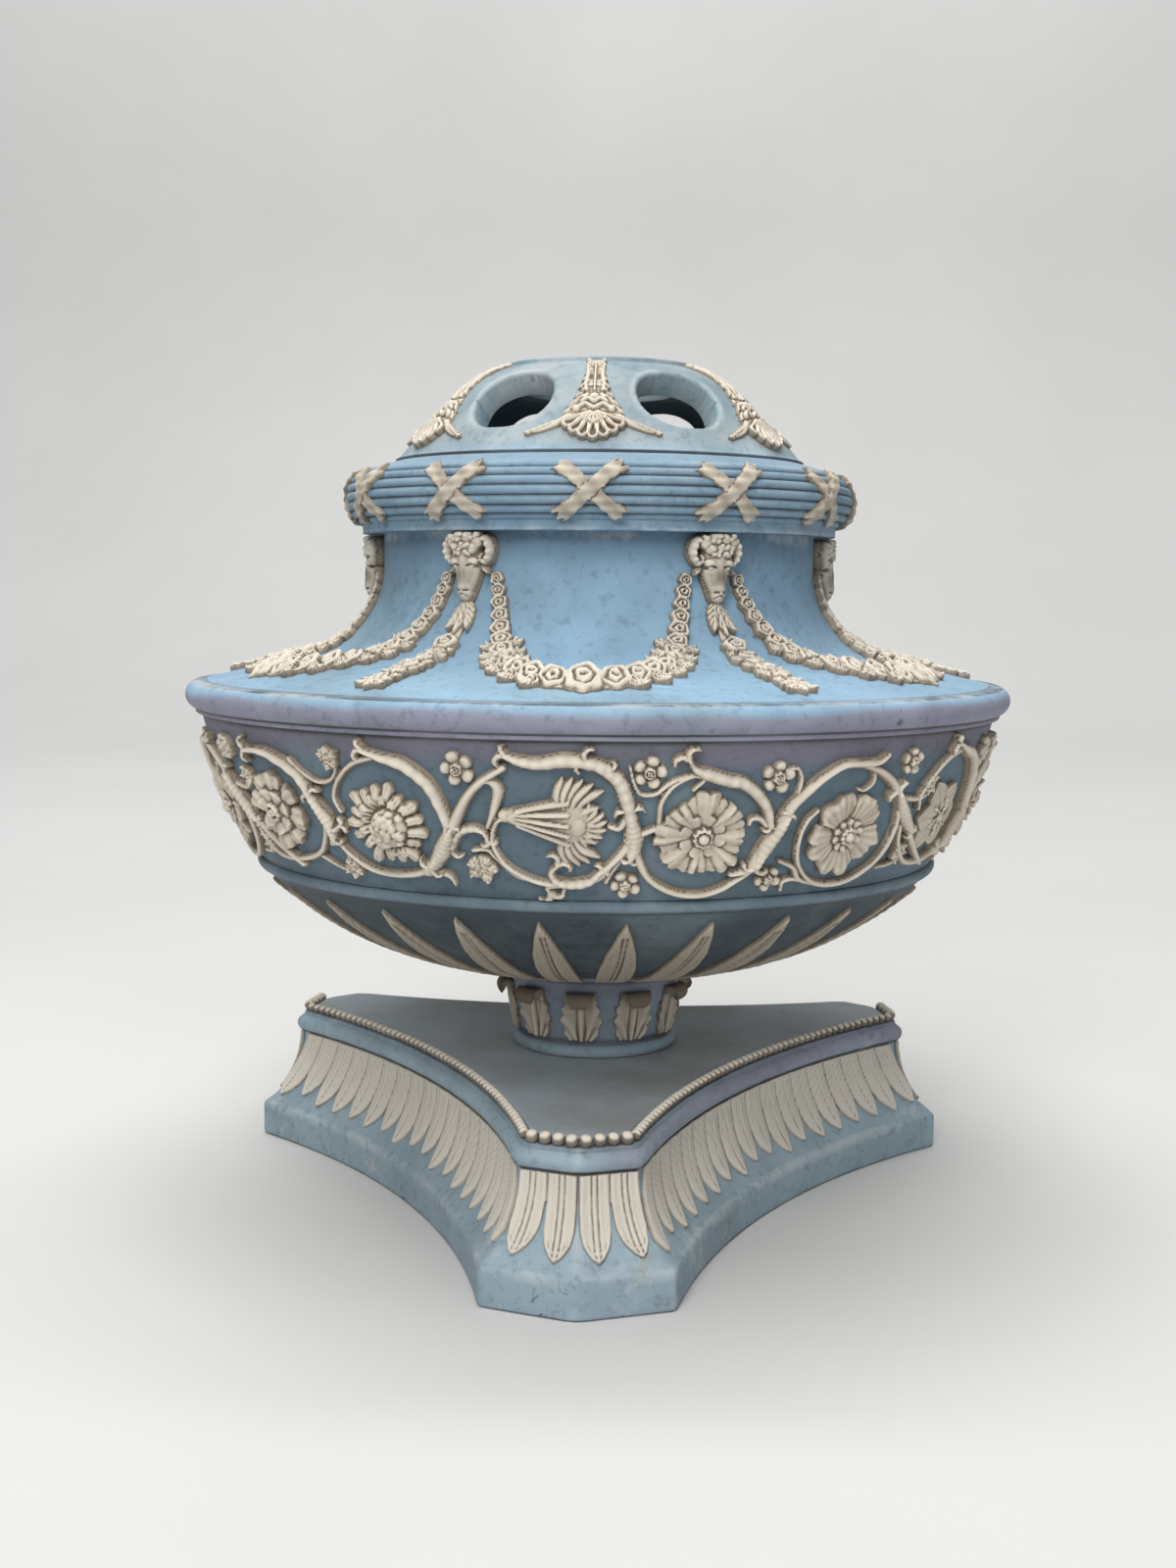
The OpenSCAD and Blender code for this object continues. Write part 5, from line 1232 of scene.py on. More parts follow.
FLORETS = [(-29.7, 19.6, 4.3), (16.1, 19.5, 4.0), (11.6, -12.9, 3.7), (48.1, 17.8, 4.3), (51.6, -12.2, 3.6),
           (90.8, 20.0, 3.8)]
VINE_LEAVES = [(-26.6, -7.7, 4.6), (-68.6, -11.6, 3.6), (-66.4, 20.2, 3.8), (-112.0, 19.0, 3.8),
               (99.9, -8.6, 3.6), (103.0, 12.6, 3.4)]
# The lily's cell is out of sight in the photograph and takes its stems from the sunflower's cell
LILY_X = 113.9
LILY_STEMS, LILY_SHEATHS = (0, 1, 2, 3), (0, 1, 9)
FLOWER_PLACES = {"anemones": (-92.6, 3.3), "sunflowers": (-51.9, 2.9), "bellflowers": (-6.8, 5.6),
                 "peonies": (30.4, 1.8), "wild_roses": (72.9, .2), "lilies": (LILY_X, 2.0)}
FRONT_REPEATS, LILY_REPEATS = 3, 2
TRACED, LILY_HALF, FLOWER_HALF, FLOWER_CELL = (-120, 118), 30, 17, 0.31


def frieze_field(x0, x1, cell):
    skin = Skin(WALL)
    return Relief(skin, np.arange(x0, x1, cell) / FRIEZE_R, np.arange(0.6, skin.run - 0.3, cell), 22.0)


def frieze_step():
    return 6 * TAU / sizes().frieze_cells


def slimmer(width, share):
    return [(place, share * value) for place, value in width]


def lay_stems(f, rows, dx):
    for points, width, rise in rows:
        f.stroke(frieze_points(points, dx), slimmer(width, 0.84), 1.35 * rise, edge=0.7, sharp=1.7)


def lay_sheaths(f, rows, dx):
    for points, width, rise in rows:
        f.stroke(frieze_points(points, dx), slimmer(width, 0.94), 1.3 * rise, edge=0.7, ridge=0.14, sharp=1.7)
        # A pair of curled leaf tips splays from each end
        for (x, y), back, size in ((points[0], points[1], 1.0), (points[-1], points[-2], 0.6)):
            way = atan2(y - back[1], x - back[0])
            for hand in (-1, 1):
                curl = [(x + size * q * cos(way + hand * a), y + size * q * sin(way + hand * a))
                        for q, a in ((0.0, 0.0), (1.9, 0.55), (3.3, 1.0), (3.7, 1.45))]
                f.stroke(frieze_points(curl, dx), [(0, 1.1), (.5, .85), (.85, .6), (1, .3)],
                         [(0, 1.0 * rise), (.6, 1.15 * rise), (1, 0.9 * rise)], edge=0.6, sharp=1.7, steps=5)


def frieze_ring(name, lay, rows, lily_rows, cell):
    """A relief that runs round the frieze: the traced cells three times, and the lily's cell twice."""
    lily_dx = LILY_X - FLOWER_PLACES["sunflowers"][0]
    meshes = []
    for part, (x0, x1), laid, dx, seed, count in (
            ("_front", TRACED, rows, 0.0, 3, FRONT_REPEATS),
            ("_lily", (LILY_X - LILY_HALF, LILY_X + LILY_HALF), lily_rows, lily_dx, 4, LILY_REPEATS)):
        f = frieze_field(x0, x1, cell)
        lay(f, laid, dx)
        one = f.mesh(name + part + "_one", seed=seed)
        meshes.append(ring(name + part, one, count, frieze_step(), sizes().frieze_turn))
    return put(name, merged(name, meshes), cream())


def lay_each(form):
    """Lays a small form at each (x, y, size) row."""
    def lay(f, rows, dx):
        for k, (x, y, r) in enumerate(rows):
            form(f, (x + dx) / FRIEZE_R, y + BASE_Y, r, k)
    return lay


def sunflower(f, az, s):
    f.bloom(az, s, 12.4, 17, lambda v, p, k: 0.6 + 2.6 * tent(v - 0.72, 0.60) * (1 - 0.85 * p * p)
            - 0.5 * np.exp(-(p / 0.22) ** 2) * v + 0.6 * ((7 * k) % 3) / 2 * v,
            part=lambda p, k: 0.74 + 0.20 * (1 - p * p) + 0.08 * np.sin(k * 2.4))
    f.bloom(az + 0.9 / FRIEZE_R, s, 9.4, 14,
            lambda v, p, k: 1.2 + 2.2 * (1 - 0.9 * p * p) * ramp(v, [(0, .1), (.6, .15), (.8, 1), (1, .7)])
            + 0.4 * (k % 3) - 0.4 * np.exp(-(p / 0.2) ** 2),
            part=lambda p, k: 0.72 + 0.22 * (1 - p * p) + 0.07 * np.sin(k * 1.9))
    x0, y0, r, low, top = 1.8, -0.4, 5.5, 1.8, 6.4
    f.knob(az + x0 / FRIEZE_R, s + y0, r, top, edge=low)
    rng = np.random.default_rng(8)
    for _ in range(34):
        q, a = 4.9 * sqrt(rng.uniform(0, 1)), rng.uniform(0, TAU)
        on = low + (top - low) * sqrt(1 - (q / r) ** 2)
        f.knob(az + (x0 + q * cos(a)) / FRIEZE_R, s + y0 + q * sin(a), rng.uniform(0.8, 1.5), on + 0.6,
               edge=on - 0.5)


def anemone(f, az, s):
    f.bloom(az, s, 12.0, 8, lambda v, p, k: 0.6 + 2.7 * v * (1 - 0.9 * p * p)
            + 0.35 * np.sin(8 * p + 2 * k) * v * v
            - 3.0 * unit(v - 0.80) * 1.6 + 0.5 * (k % 2) * v, turn=0.2,
            part=lambda p, k: 0.64 + 0.33 * dome(p) + 0.05 * np.sin(3 * k) + 0.03 * np.cos(9 * p))
    f.bloom(az, s, 6.8, 7, lambda v, p, k: 1.8 + 2.0 * v * (1 - 0.9 * p * p),
            part=lambda p, k: 0.68 + 0.32 * dome(p), turn=0.6)
    f.ring_rose(az, s, 3.0, 4.4, lobes=9)


def peony(f, az, s):
    tilt = np.array([0.0, .11, -.06, .1, .02, -.09, .08, -.04])
    f.bloom(az, s, 11.6, 8, lambda v, p, k: 0.5 + 1.9 * v * (1 - 0.8 * p * p) - 2.0 * unit(v - 0.8) * 1.6,
            turn=0.35 + TAU / 16,
            part=lambda p, k: 0.60 + 0.36 * dome(p) + 0.03 * np.cos(8 * p + k))
    f.bloom(az, s, 12.6, 8, lambda v, p, k: 0.5 + (0.5 + 2.9 * v) * (1 - 0.94 * p * p)
            - 0.55 * np.exp(-(p / 0.17) ** 2) * v
            + 0.38 * np.sin(7 * p + 2.0 * k) * v * v - 3.4 * unit(v - 0.78) * 1.6 + 2.2 * tilt[k] * v,
            turn=0.35,
            part=lambda p, k: 0.60 + 0.37 * dome(p) - 0.13 * np.exp(-(p / 0.17) ** 2) + tilt[k] * 0.8
            + 0.025 * np.cos(10 * p))
    f.bloom(az, s, 6.2, 8, lambda v, p, k: 1.3 + 1.2 * v * (1 - 0.9 * p * p),
            part=lambda p, k: 0.78 + 0.22 * (1 - p * p), turn=0.1)
    f.ring_rose(az, s, 3.0, 3.9, lobes=10)
    f.knob(az, s, 1.6, 4.7, edge=2.4)


def wild_rose(f, az, s):
    f.bloom(az, s, 12.6, 5, lambda v, p, k: 0.6 + 2.0 * v ** 0.8 * (1 - 0.55 * p * p) + 1.25 * (p + 1) / 2 * v
            - 0.34 * wave(p * 17) * v + 0.45 * np.sin(6 * p + 1.7 * k) * v ** 3
            - 3.4 * unit(v - 0.88) * 2.0, turn=0.25,
            part=lambda p, k: 0.70 + 0.28 * (1 - p * p) ** 0.45 - 0.10 * np.exp(-(p / 0.16) ** 2)
            + 0.03 * np.sin(2.2 * k) + 0.025 * np.cos(9 * p + k))
    f.bloom(az, s, 4.8, 10, lambda v, p, k: 1.5 + 1.6 * v * (1 - 0.9 * p * p),
            part=lambda p, k: 0.72 + 0.28 * (1 - p * p))
    f.ring_rose(az, s, 2.8, 3.9, lobes=10)
    f.knob(az, s, 1.6, 4.6, edge=2.4)


def lily(f, az, s):
    for ring_turn, r, lift in ((0.5, 12.0, 0.0), (0.0, 11.2, 0.35)):
        f.bloom(az, s, r, 3, lambda v, p, k: lift + 0.7 + 1.5 * (1 - np.abs(v - 0.5)) * (0.4 + 0.6 * dome(p))
                - 0.3 * np.exp(-(p / 0.09) ** 2),
                part=lambda p, k: 0.30 + 0.70 * tent(p, 1) ** 0.75, turn=ring_turn * TAU / 3)
    for k in range(6):
        a = k * TAU / 6 + 0.3
        f.stroke([(az, s), (az + 3.0 * cos(a) / FRIEZE_R, s + 3.0 * sin(a)),
                  (az + 5.2 * cos(a + 0.2) / FRIEZE_R, s + 5.2 * sin(a + 0.2))], [(0, .4), (.7, .4), (1, .8)],
                 2.9, edge=1.4)
    f.knob(az, s, 1.6, 3.1, edge=1.5)


def bellflower(f, az, s):
    def at(x, y):
        return az + x / FRIEZE_R, s + y
    # Back petals of the flare fan out above and below the mouth
    for k, a in enumerate(np.radians([112, 101, 90, 78, 64, 48, 30, 10, -12, -34, -52, -68, -82, -94, -106])):
        reach = 12.6 if abs(degrees(a)) > 60 else 9.0
        root = at(3.4 + 1.5 * cos(a), 1.6 * sin(a) - 0.3)
        bend = 0.30 * (1 if a > 0 else -1)
        f.stroke([root, at(3.4 + 0.6 * reach * cos(a - bend * 0.3), 0.6 * reach * sin(a - bend * 0.3) - 0.3),
                  at(3.4 + reach * cos(a - bend), reach * sin(a - bend) - 0.3)],
                 [(0, .9), (.5, 1.5), (.8, 1.25), (1, .4)], [(0, 2.6), (.6, 2.6 + 0.5 * (k % 2)), (1, 1.5)],
                 sharp=1.5)
    # Ribbed cup from the calyx to the mouth
    f.stroke([at(-11.5, 1.4), at(-5.5, 1.2), at(0, .6), at(4.0, 0.0)],
             [(0, 1.9), (.2, 3.1), (.5, 4.6), (.8, 6.0), (1, 7.0)],
             [(0, 2.4), (.3, 3.2), (1, 3.6)], edge=0.7, sharp=1.8)
    for k in range(5):
        u = (k - 2) / 2
        f.stroke([at(-8.6, 1.3 + 1.9 * u), at(-3.5, 1.0 + 3.6 * u), at(3.6, 0.1 + 5.8 * u)],
                 [(0, .7), (.6, 1.0), (1, 1.0)],
                 [(0, 3.1), (.6, 4.4 - 1.1 * u * u), (1, 4.4 - 1.3 * u * u)], edge=1.4)
    for y in (2.9, -0.2, 1.3):
        f.stroke([at(-10.6, 1.3), at(-7.6, 1.3 + (y - 1.3) * 1.25), at(-5.2, 1.3 + (y - 1.3) * 1.7)],
                 [(0, 1.0), (.6, 1.0), (1, .3)], [(0, 2.9), (1, 3.0)], edge=1.2)
    f.knob(*at(-12.0, 1.5), 1.9, 2.6)
    # Domed heart in the mouth with a fringe
    for a in np.radians(np.linspace(-80, 84, 9)):
        f.stroke([at(6.4, -.4), at(6.4 + 4.2 * cos(a), -.4 + 4.2 * sin(a)),
                  at(6.4 + 6.6 * cos(a + .1), -.4 + 6.6 * sin(a + .1))],
                 [(0, .8), (.6, 1.0), (1, .3)], [(0, 3.2), (1, 2.0)], edge=1.2)
    f.knob(*at(6.0, -.3), 2.9, 4.0, edge=2.2, squash=0.8)


FLOWERS = {"anemones": anemone, "sunflowers": sunflower, "bellflowers": bellflower, "peonies": peony,
           "wild_roses": wild_rose, "lilies": lily}


def floret(f, az, s, r, k):
    f.bloom(az, s, 1.08 * r, 5, lambda v, p, j: 0.6 + 2.2 * v * (1 - 0.9 * p * p)
            - 2.6 * unit(v - 0.78) * 1.8,
            part=lambda p, j: 0.56 + 0.42 * dome(p) + 0.05 * np.sin(2.0 * j + k), turn=0.7 * k)
    f.ring_rose(az, s, r * 0.42, 3.0, lobes=6)


def vine_leaf(f, az, s, r, k):
    for a, share in ((-2.0, .78), (2.0, .78), (-1.0, 1.0), (1.0, 1.0), (0.0, 1.2)):
        f.leaf(az, s, a + 0.9 * k - 1.3, r * share, r * 0.56, 2.5, veins=3, tip=0.75)


# Shoulder reliefs

def swag_places(skin):
    """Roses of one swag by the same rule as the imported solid: the main ones as (azimuth, s, radius), and the
    flanking ones with the hand, the heading and the side of the swag that they lie on."""
    low, end_az, end_s, count = 16.5, radians(22.74), 67.43, 12

    def at(q):
        return end_az * q, low + (end_s - low) * abs(q) ** 2.3

    def radius(k):
        return 4.8 if k == 0 else 3.6 - 1.9 * ((k - 1) / (count - 1)) ** 1.3

    q = np.linspace(0, 1, 401)
    points = skin.place(end_az * q, low + (end_s - low) * q ** 2.3, 0.0)
    run = np.r_[0, np.cumsum(np.linalg.norm(np.diff(points, axis=0), axis=1))]
    place = np.r_[0, np.cumsum([radius(k) + radius(k + 1) for k in range(count)])]
    share = np.interp(run[-1] * place / place[-1], run, q)

    def heading(v):
        (a0, s0), (a1, s1) = at(v), at(v + 0.01)
        return atan2(s1 - s0, (a1 - a0) * skin.radius(s0))

    main, flank = [], []
    for k in range(count + 1):
        for hand in ((1,) if k == 0 else (-1, 1)):
            a, s = at(share[k])
            main.append((hand * a, s, radius(k)))
    for k in range(1, 7):
        v = (share[k] + share[k + 1]) / 2
        (a, s), turn = at(v), heading(v)
        near = (radius(k) + radius(k + 1)) / 2
        for up in (-1, 1):
            out = up * sqrt((1.5 * near) ** 2 - near ** 2)
            for hand in (-1, 1):
                flank.append((hand * (a - sin(turn) * out / skin.radius(s)), s + cos(turn) * out,
                              near / 2, hand, turn, up))
    return main, flank


def swag_relief():
    skin = Skin(SHOULDER)
    f = Relief(skin, np.radians(np.arange(-26.5, 26.5, 0.215)), np.arange(5.5, 71.5, 0.37), 30.0)
    rng = np.random.default_rng(21)
    main, flank = swag_places(skin)

    def lean(s):
        """Roses on the flat of the shoulder tip forwards, to face the eye."""
        return float(ramp(np.array(s), [(0, .5), (26, .5), (44, 0), (99, 0)]))

    f.stroke([(a, s) for a, s, _ in sorted(main)], [(0, 1.2), (.25, 2.2), (.5, 4.6), (.75, 2.2), (1, 1.2)],
             1.3, steps=4)
    # Small rounded leaves stand out behind the roses
    for a, s, r, hand, turn, up in flank:
        ahead = turn if hand > 0 else pi - turn
        for swing in (0.5, 1.3):
            f.leaf(a, s, ahead + up * hand * (swing + rng.uniform(-0.2, 0.2)), 2.3 * r, 1.0 * r,
                   1.7 + 0.3 * r, veins=3)
    for a, s, r, *_ in flank:
        f.ring_rose(a, s, 1.12 * r, 1.75 + 0.42 * r, squash=rng.uniform(1.0, 1.2), turn=pi / 2,
                    phase=rng.uniform(0, 6), tilt=lean(s))
    for a, s, r in main:
        if r > 4:
            f.ring_rose(a, s, 1.2 * r, 3.4, squash=1.3, turn=pi / 2, lobes=7, tilt=lean(s))
        big = 1.08 * r if r > 4 else (1.22 + rng.uniform(-0.08, 0.08)) * r
        f.ring_rose(a, s, big, 1.75 + 0.42 * r, squash=1.22 if s < 34 else rng.uniform(1.0, 1.12),
                    turn=pi / 2, phase=rng.uniform(0, 6), tilt=lean(s))
    return f


def drop_relief():
    skin = Skin(SHOULDER)
    f = Relief(skin, np.radians(np.arange(-6.5, 6.5, 0.2)), np.arange(3.5, 64.0, 0.38), 40.0)
    rng = np.random.default_rng(5)
    f.stroke([(0, 8.0), (0, 30), (0, 59.0)], [(0, .6), (.35, 3.0), (.7, 2.2), (1, 1.2)],
             [(0, .8), (.5, 1.4), (1, 1.2)])
    for k, s in enumerate((10.0, 13.5, 17.5, 22.0, 27.0, 32.0, 41.0)):
        for hand in (-1, 1):
            f.leaf(0.3 * hand / skin.radius(s), s + 2.0, -pi / 2 + hand * rng.uniform(0.55, 0.95),
                   6.0 - 0.15 * abs(k - 3), 1.9, 2.1, veins=3)
    f.leaf(0, 12.5, -pi / 2, 6.2, 1.8, 2.2, veins=4)
    for s, r in ((20.5, 2.7), (26.5, 3.1), (33.5, 3.3), (44.0, 3.9), (38.6, 2.4)):
        off = rng.uniform(-0.9, 0.9)
        f.ring_rose(off / skin.radius(s), s, r, 2.0 + 0.35 * r, phase=rng.uniform(0, 6))
    for s in (24.0, 30.2, 36.6):
        for hand in (-1, 1):
            f.ring_rose(hand * 3.0 / skin.radius(s), s, 1.8, 2.2, phase=rng.uniform(0, 6))
    # Split tassel leaf under the muzzle
    for hand in (-1, 1):
        f.leaf(0.4 * hand / 70, 60.5, -pi / 2 + hand * 0.28, 10.5, 2.1, 2.3, veins=5)
    f.leaf(0, 60.5, -pi / 2, 12.0, 1.4, 2.6, veins=4)
    return f


def ram_relief():
    skin = Skin(joined(SHOULDER, [(65.5, 201.5)]))
    f = Relief(skin, np.radians(np.arange(-8.4, 8.4, 0.215)), np.arange(59.5, 80.72, 0.25), 70.0)

    def at(x, y):
        return x / NECK_R, HEAD_S + y

    # Horns spring from the crown and curl round beside the cheeks
    horn = ((1.6, 5.6), (3.9, 6.9), (6.0, 6.3), (6.9, 3.9), (6.4, 1.6), (5.1, .4), (4.2, 1.3), (4.4, 2.5))
    for hand in (-1, 1):
        f.stroke([at(hand * x, y) for x, y in horn],
                 [(0, 1.35), (.3, 1.5), (.7, 1.15), (1, .5)], [(0, 5.4), (.35, 5.2), (.7, 4.6), (1, 4.2)],
                 edge=0.9, ridge=0.34)
        f.leaf(*at(hand * 4.0, -0.6), -pi / 2 + hand * 0.75, 3.6, 1.0, 3.6, veins=1)
    f.stroke([at(0, 3.6), at(0, -1.5), at(0, -6.5), at(0, -9.8)], [(0, 4.5), (.3, 4.4), (.7, 2.9), (1, 2.2)],
             [(0, 5.9), (.4, 6.2), (.8, 5.6), (1, 4.6)], edge=1.0, sharp=2.6)
    f.knob(*at(0, -9.3), 2.3, 5.4, edge=1.0, squash=1.05)
    f.stroke([at(0, 2.0), at(0, -3.0), at(0, -8.0)], [(0, 1.5), (.5, 1.1), (1, 1.3)],
             [(0, 6.3), (.5, 6.6), (1, 6.0)], edge=5.0)
    for hand in (-1, 1):
        f.knob(*at(hand * 2.5, 0.4), 1.35, 6.3, edge=4.6, squash=1.25)
        f.stroke([at(hand * 1.3, -.9), at(hand * 2.5, -.5), at(hand * 3.6, -1.2)], .5, 0.9, cut=True)
        f.knob(*at(hand * 2.5, -1.1), .62, 5.9, edge=5.0)
        f.stroke([at(hand * .6, -9.4), at(hand * 1.35, -9.0)], .45, 0.8, cut=True)
        f.stroke([at(hand * 2.6, -3.4), at(hand * 1.9, -6.6)], .8, 0.35, cut=True)
    f.stroke([at(-1.4, -10.7), at(0, -10.3), at(1.4, -10.7)], .35, 0.6, cut=True)
    x, y = f.AZ * NECK_R, f.S - HEAD_S
    f.stain[:] = 0.62 * np.exp(-(x / 3.2) ** 2 - ((y + 4.0) / 5.2) ** 2)
    for x, y, r in ((-3.5, 6.0, 1.9), (-1.2, 7.0, 2.0), (1.3, 7.0, 2.0), (3.6, 6.0, 1.8), (-2.3, 4.4, 1.7),
                    (0.1, 4.7, 1.8), (2.4, 4.4, 1.7), (-.9, 3.0, 1.2), (1.0, 3.0, 1.2)):
        f.knob(*at(x, y), r, 6.9 - 0.06 * (x * x), edge=4.6)
    rng = np.random.default_rng(5)
    for _ in range(34):
        x, y = rng.uniform(-4.6, 4.6), rng.uniform(2.6, 8.0)
        f.knob(*at(x, y), rng.uniform(0.55, 0.95), 7.4 - 0.07 * x * x - 0.03 * (y - 5.5) ** 2, edge=5.6)
    return f


# Collar, cover, underside, stem and plinth reliefs

def tie_relief():
    skin = Skin(arc(BUNDLE[0], BUNDLE[1], BUNDLE_R + 0.05, -66, 66, 60))
    mid = skin.run / 2
    f = Relief(skin, np.radians(np.arange(-9.6, 9.6, 0.27)), np.arange(0.3, skin.run - 0.3, 0.32), mid)
    x, y = f.AZ * (BUNDLE[0] + BUNDLE_R), f.S - mid
    for hand, top in ((-1, 1.05), (1, 1.45)):
        turn = atan2(hand * 7.9, 9.2)
        u = x * cos(turn) + y * sin(turn)
        v = y * cos(turn) - x * sin(turn)
        end = 11.9 - 1.5 * tent(np.abs(v) - 1.1, 1) + 0.3 * np.sin(3.1 * v + hand)
        half = 1.85 + 0.75 * (np.abs(u) / 11.5) ** 3
        half = half + 0.16 * np.sin(u * 1.7 + 2 * hand) + 0.10 * np.sin(u * 3.9 + hand)
        h = top - 0.35 * (np.abs(v) / 2.1) ** 4
        h = h + 0.16 * np.sin(u * 0.9 + 2 * hand) + 0.16 * np.cos(y * TAU / 2.6)
        f.lay(EVERYWHERE, np.minimum(half - np.abs(v), end - np.abs(u)), h)
    f.stain[:] = 0.30 + 0.10 * np.sin(x * 0.9 + y)
    return f


def palmette_relief():
    skin = Skin(DOME)
    f = Relief(skin, np.radians(np.arange(-25, 25, 0.34)), np.arange(1.2, skin.run - 0.2, 0.3), 14.0)

    def at(x, s):
        return x / skin.radius(s), s

    # Leafy triangle from the shoulder of the fan up to the top rim
    x, s = f.AZ * f.R, f.S
    half = ramp(s, [(5.5, 0), (8.0, 6.4), (12, 8.4), (15.5, 8.6), (18, 6.9), (22, 5.2), (27, 3.9), (32, 3.0),
                    (36, 2.5), (40, 2.6), (43, 3.2)])
    barb = (s / 3.1 + 0.08 * np.abs(x)) % 1
    half = half - np.where((s > 14.5) & (s < 37), 1.5 * barb, 0) * np.clip(half / 5, 0.25, 1)
    d = half - np.abs(x)
    f.lay(EVERYWHERE, d, 0.55 + 0.75 * tent(d - 0.8, 0.8) * (s > 14) - 0.35 * (barb < 0.2) * (s > 14.5))
    # Thin leafy sprays along the foot of the holes
    for hand in (-1, 1):
        f.stroke([at(hand * 7.0, 12.6), at(hand * 11.0, 9.6), at(hand * 15.2, 7.6), at(hand * 19.4, 6.6)],
                 [(0, 1.3), (.4, .8), (.8, .5), (1, .2)], [(0, 1.5), (1, .7)], edge=0.4)
        for k in range(6):
            f.leaf(*at(hand * (8.0 + 1.9 * k), 11.9 - 0.95 * k), -pi / 2 + hand * 1.05, 3.4 - 0.3 * k, 0.95,
                   1.35, veins=1)
    # Fan of loops
    root = 15.2
    for k in range(-3, 4):
        a = radians(17.0 * k)
        reach = 11.2 - 0.32 * abs(k)
        tip = np.array([reach * sin(a), -reach * cos(a)])
        across = np.array([cos(a), sin(a)])
        for hand in (-1, 1):
            bend = [(0.12, 0.0), (0.5, 0.45), (0.84, 1.30), (0.97, 0.75), (1.0, 0.0)]
            f.stroke([at(*(share * tip + hand * side * across + [0, root])) for share, side in bend],
                     [(0, .42), (.6, .58), (1, .62)], [(0, 1.7), (.6, 2.3), (1, 2.2)], steps=5)
    # Chevrons, scroll pair and the pierced stalk
    for s0, half_w, tall in ((16.0, 4.6, 1.5), (18.4, 3.4, 1.2)):
        f.stroke([at(-half_w, s0), at(-half_w / 2, s0 + tall), at(0, s0), at(half_w / 2, s0 + tall),
                  at(half_w, s0)], .62, 1.7, edge=0.6, steps=4)
    for hand in (-1, 1):
        f.knob(*at(hand * 4.9, 15.6), 1.1, 1.8)
        f.knob(*at(hand * 2.6, 20.2), 1.0, 1.7)
        f.stroke([at(hand * 1.9, 21.0), at(hand * 2.5, 25.0), at(hand * 2.1, 31.0), at(hand * 2.3, 37.0)], .5,
                 1.2)
    f.knob(*at(0, 20.2), 1.5, 1.9)
    for s0, r in ((24.0, 1.15), (29.5, 1.0), (34.6, .8)):
        for hand in (-1, 1):
            w = f.near(at(hand * 0.95, s0)[0], s0, 3)
            x, y = f.local(w, at(hand * 0.95, s0)[0], s0)
            f.dent(w, 0.45 * ((np.abs(x) < 0.55 * r) & (np.abs(y) < r)))
    f.stroke([at(0, 22.0), at(0, 30.0), at(0, 38.0)], .35, 1.2, edge=0.6)
    return f


def ray_relief():
    skin = Skin(UNDER)
    f = Relief(skin, np.radians(np.arange(-9, 9, 0.38)), np.arange(1.0, skin.run, 0.8), 45.0)
    x, s = f.AZ * f.R, f.S
    t = (s - 2.5) / (77.6 - 2.5)
    half = ramp(t, [(-.01, 0), (0, 2.5), (.25, 4.1), (.45, 5.0), (.6, 5.0), (.75, 4.1), (.9, 2.0), (1, 0),
                    (1.01, -1)])
    d = (half - np.abs(x)) * 0.9
    u = np.abs(x) / np.maximum(half, 0.1)
    h = 0.75 + 0.35 * dome(unit(u)) + 0.28 * tent(d - 0.5, 0.45)
    h = h - 0.55 * tent(np.abs(x) - 0.55, 0.5) * (t < 0.9) + 0.2 * tent(x, 0.5)
    h = h - 0.09 * wave(TAU * (s * 0.28 - u * 1.3))
    f.lay(EVERYWHERE, d, h)
    return f


def acanthus_relief():
    # The leaf's own line leaves the stem near the top and rolls forward into a knob
    root = bulge(STEM_LOW, STEM_HIGH, 84, 30)[1:22]
    p = root[-1]
    roll = arc(p[0] + 2.15, p[1] + 0.2, 2.05, 176, -60, 30)
    skin = Skin(joined(root, roll))
    flat, total = float(np.linalg.norm(np.diff(root, axis=0), axis=1).sum()), skin.run
    f = Relief(skin, np.radians(np.arange(-17, 17, 0.7)), np.arange(0.4, total - 0.05, 0.33), 10.0)
    x, s = f.AZ * 25.0, f.S
    t = s / flat
    lobes = wave(TAU * (3.3 * t - 0.10 * np.abs(x) + 0.35))
    frill = wave(TAU * (9.5 * t - 0.25 * np.abs(x)))
    half = ramp(t, [(-.01, 0), (.02, 4.3), (.15, 5.0), (.35, 6.0), (.6, 6.4), (.85, 5.6), (1.0, 4.6),
                    (1.25, 4.2), (1.5, 3.0), (1.7, 1.8)])
    notch = np.where(t < 0.95, 0.13 * lobes + 0.05 * frill, 0.04 * frill)
    d = half * (1 - notch) - np.abs(x)
    u = np.abs(x) / np.maximum(half, 0.1)
    h = 0.9 + 0.55 * unit(u) ** 2 - 0.5 * lobes * unit(u - 0.25)
    h = h + 0.6 * tent(x, 0.8) * (t < 1.1)
    veins = np.cos(np.arctan2(x, s + 3.0) * 17.0 + 2.2 * u * u)
    h = h + 0.30 * veins * (t < 1.05)
    h = h + 0.5 * unit((t - 1.0) / 0.2)
    h = h - 0.35 * tent(np.abs(x) - 1.25, 0.5) * (t < 0.95)
    f.lay(EVERYWHERE, d, h)
    f.stain[:] = 0.22 * unit((t - 0.98) / 0.12)
    return f


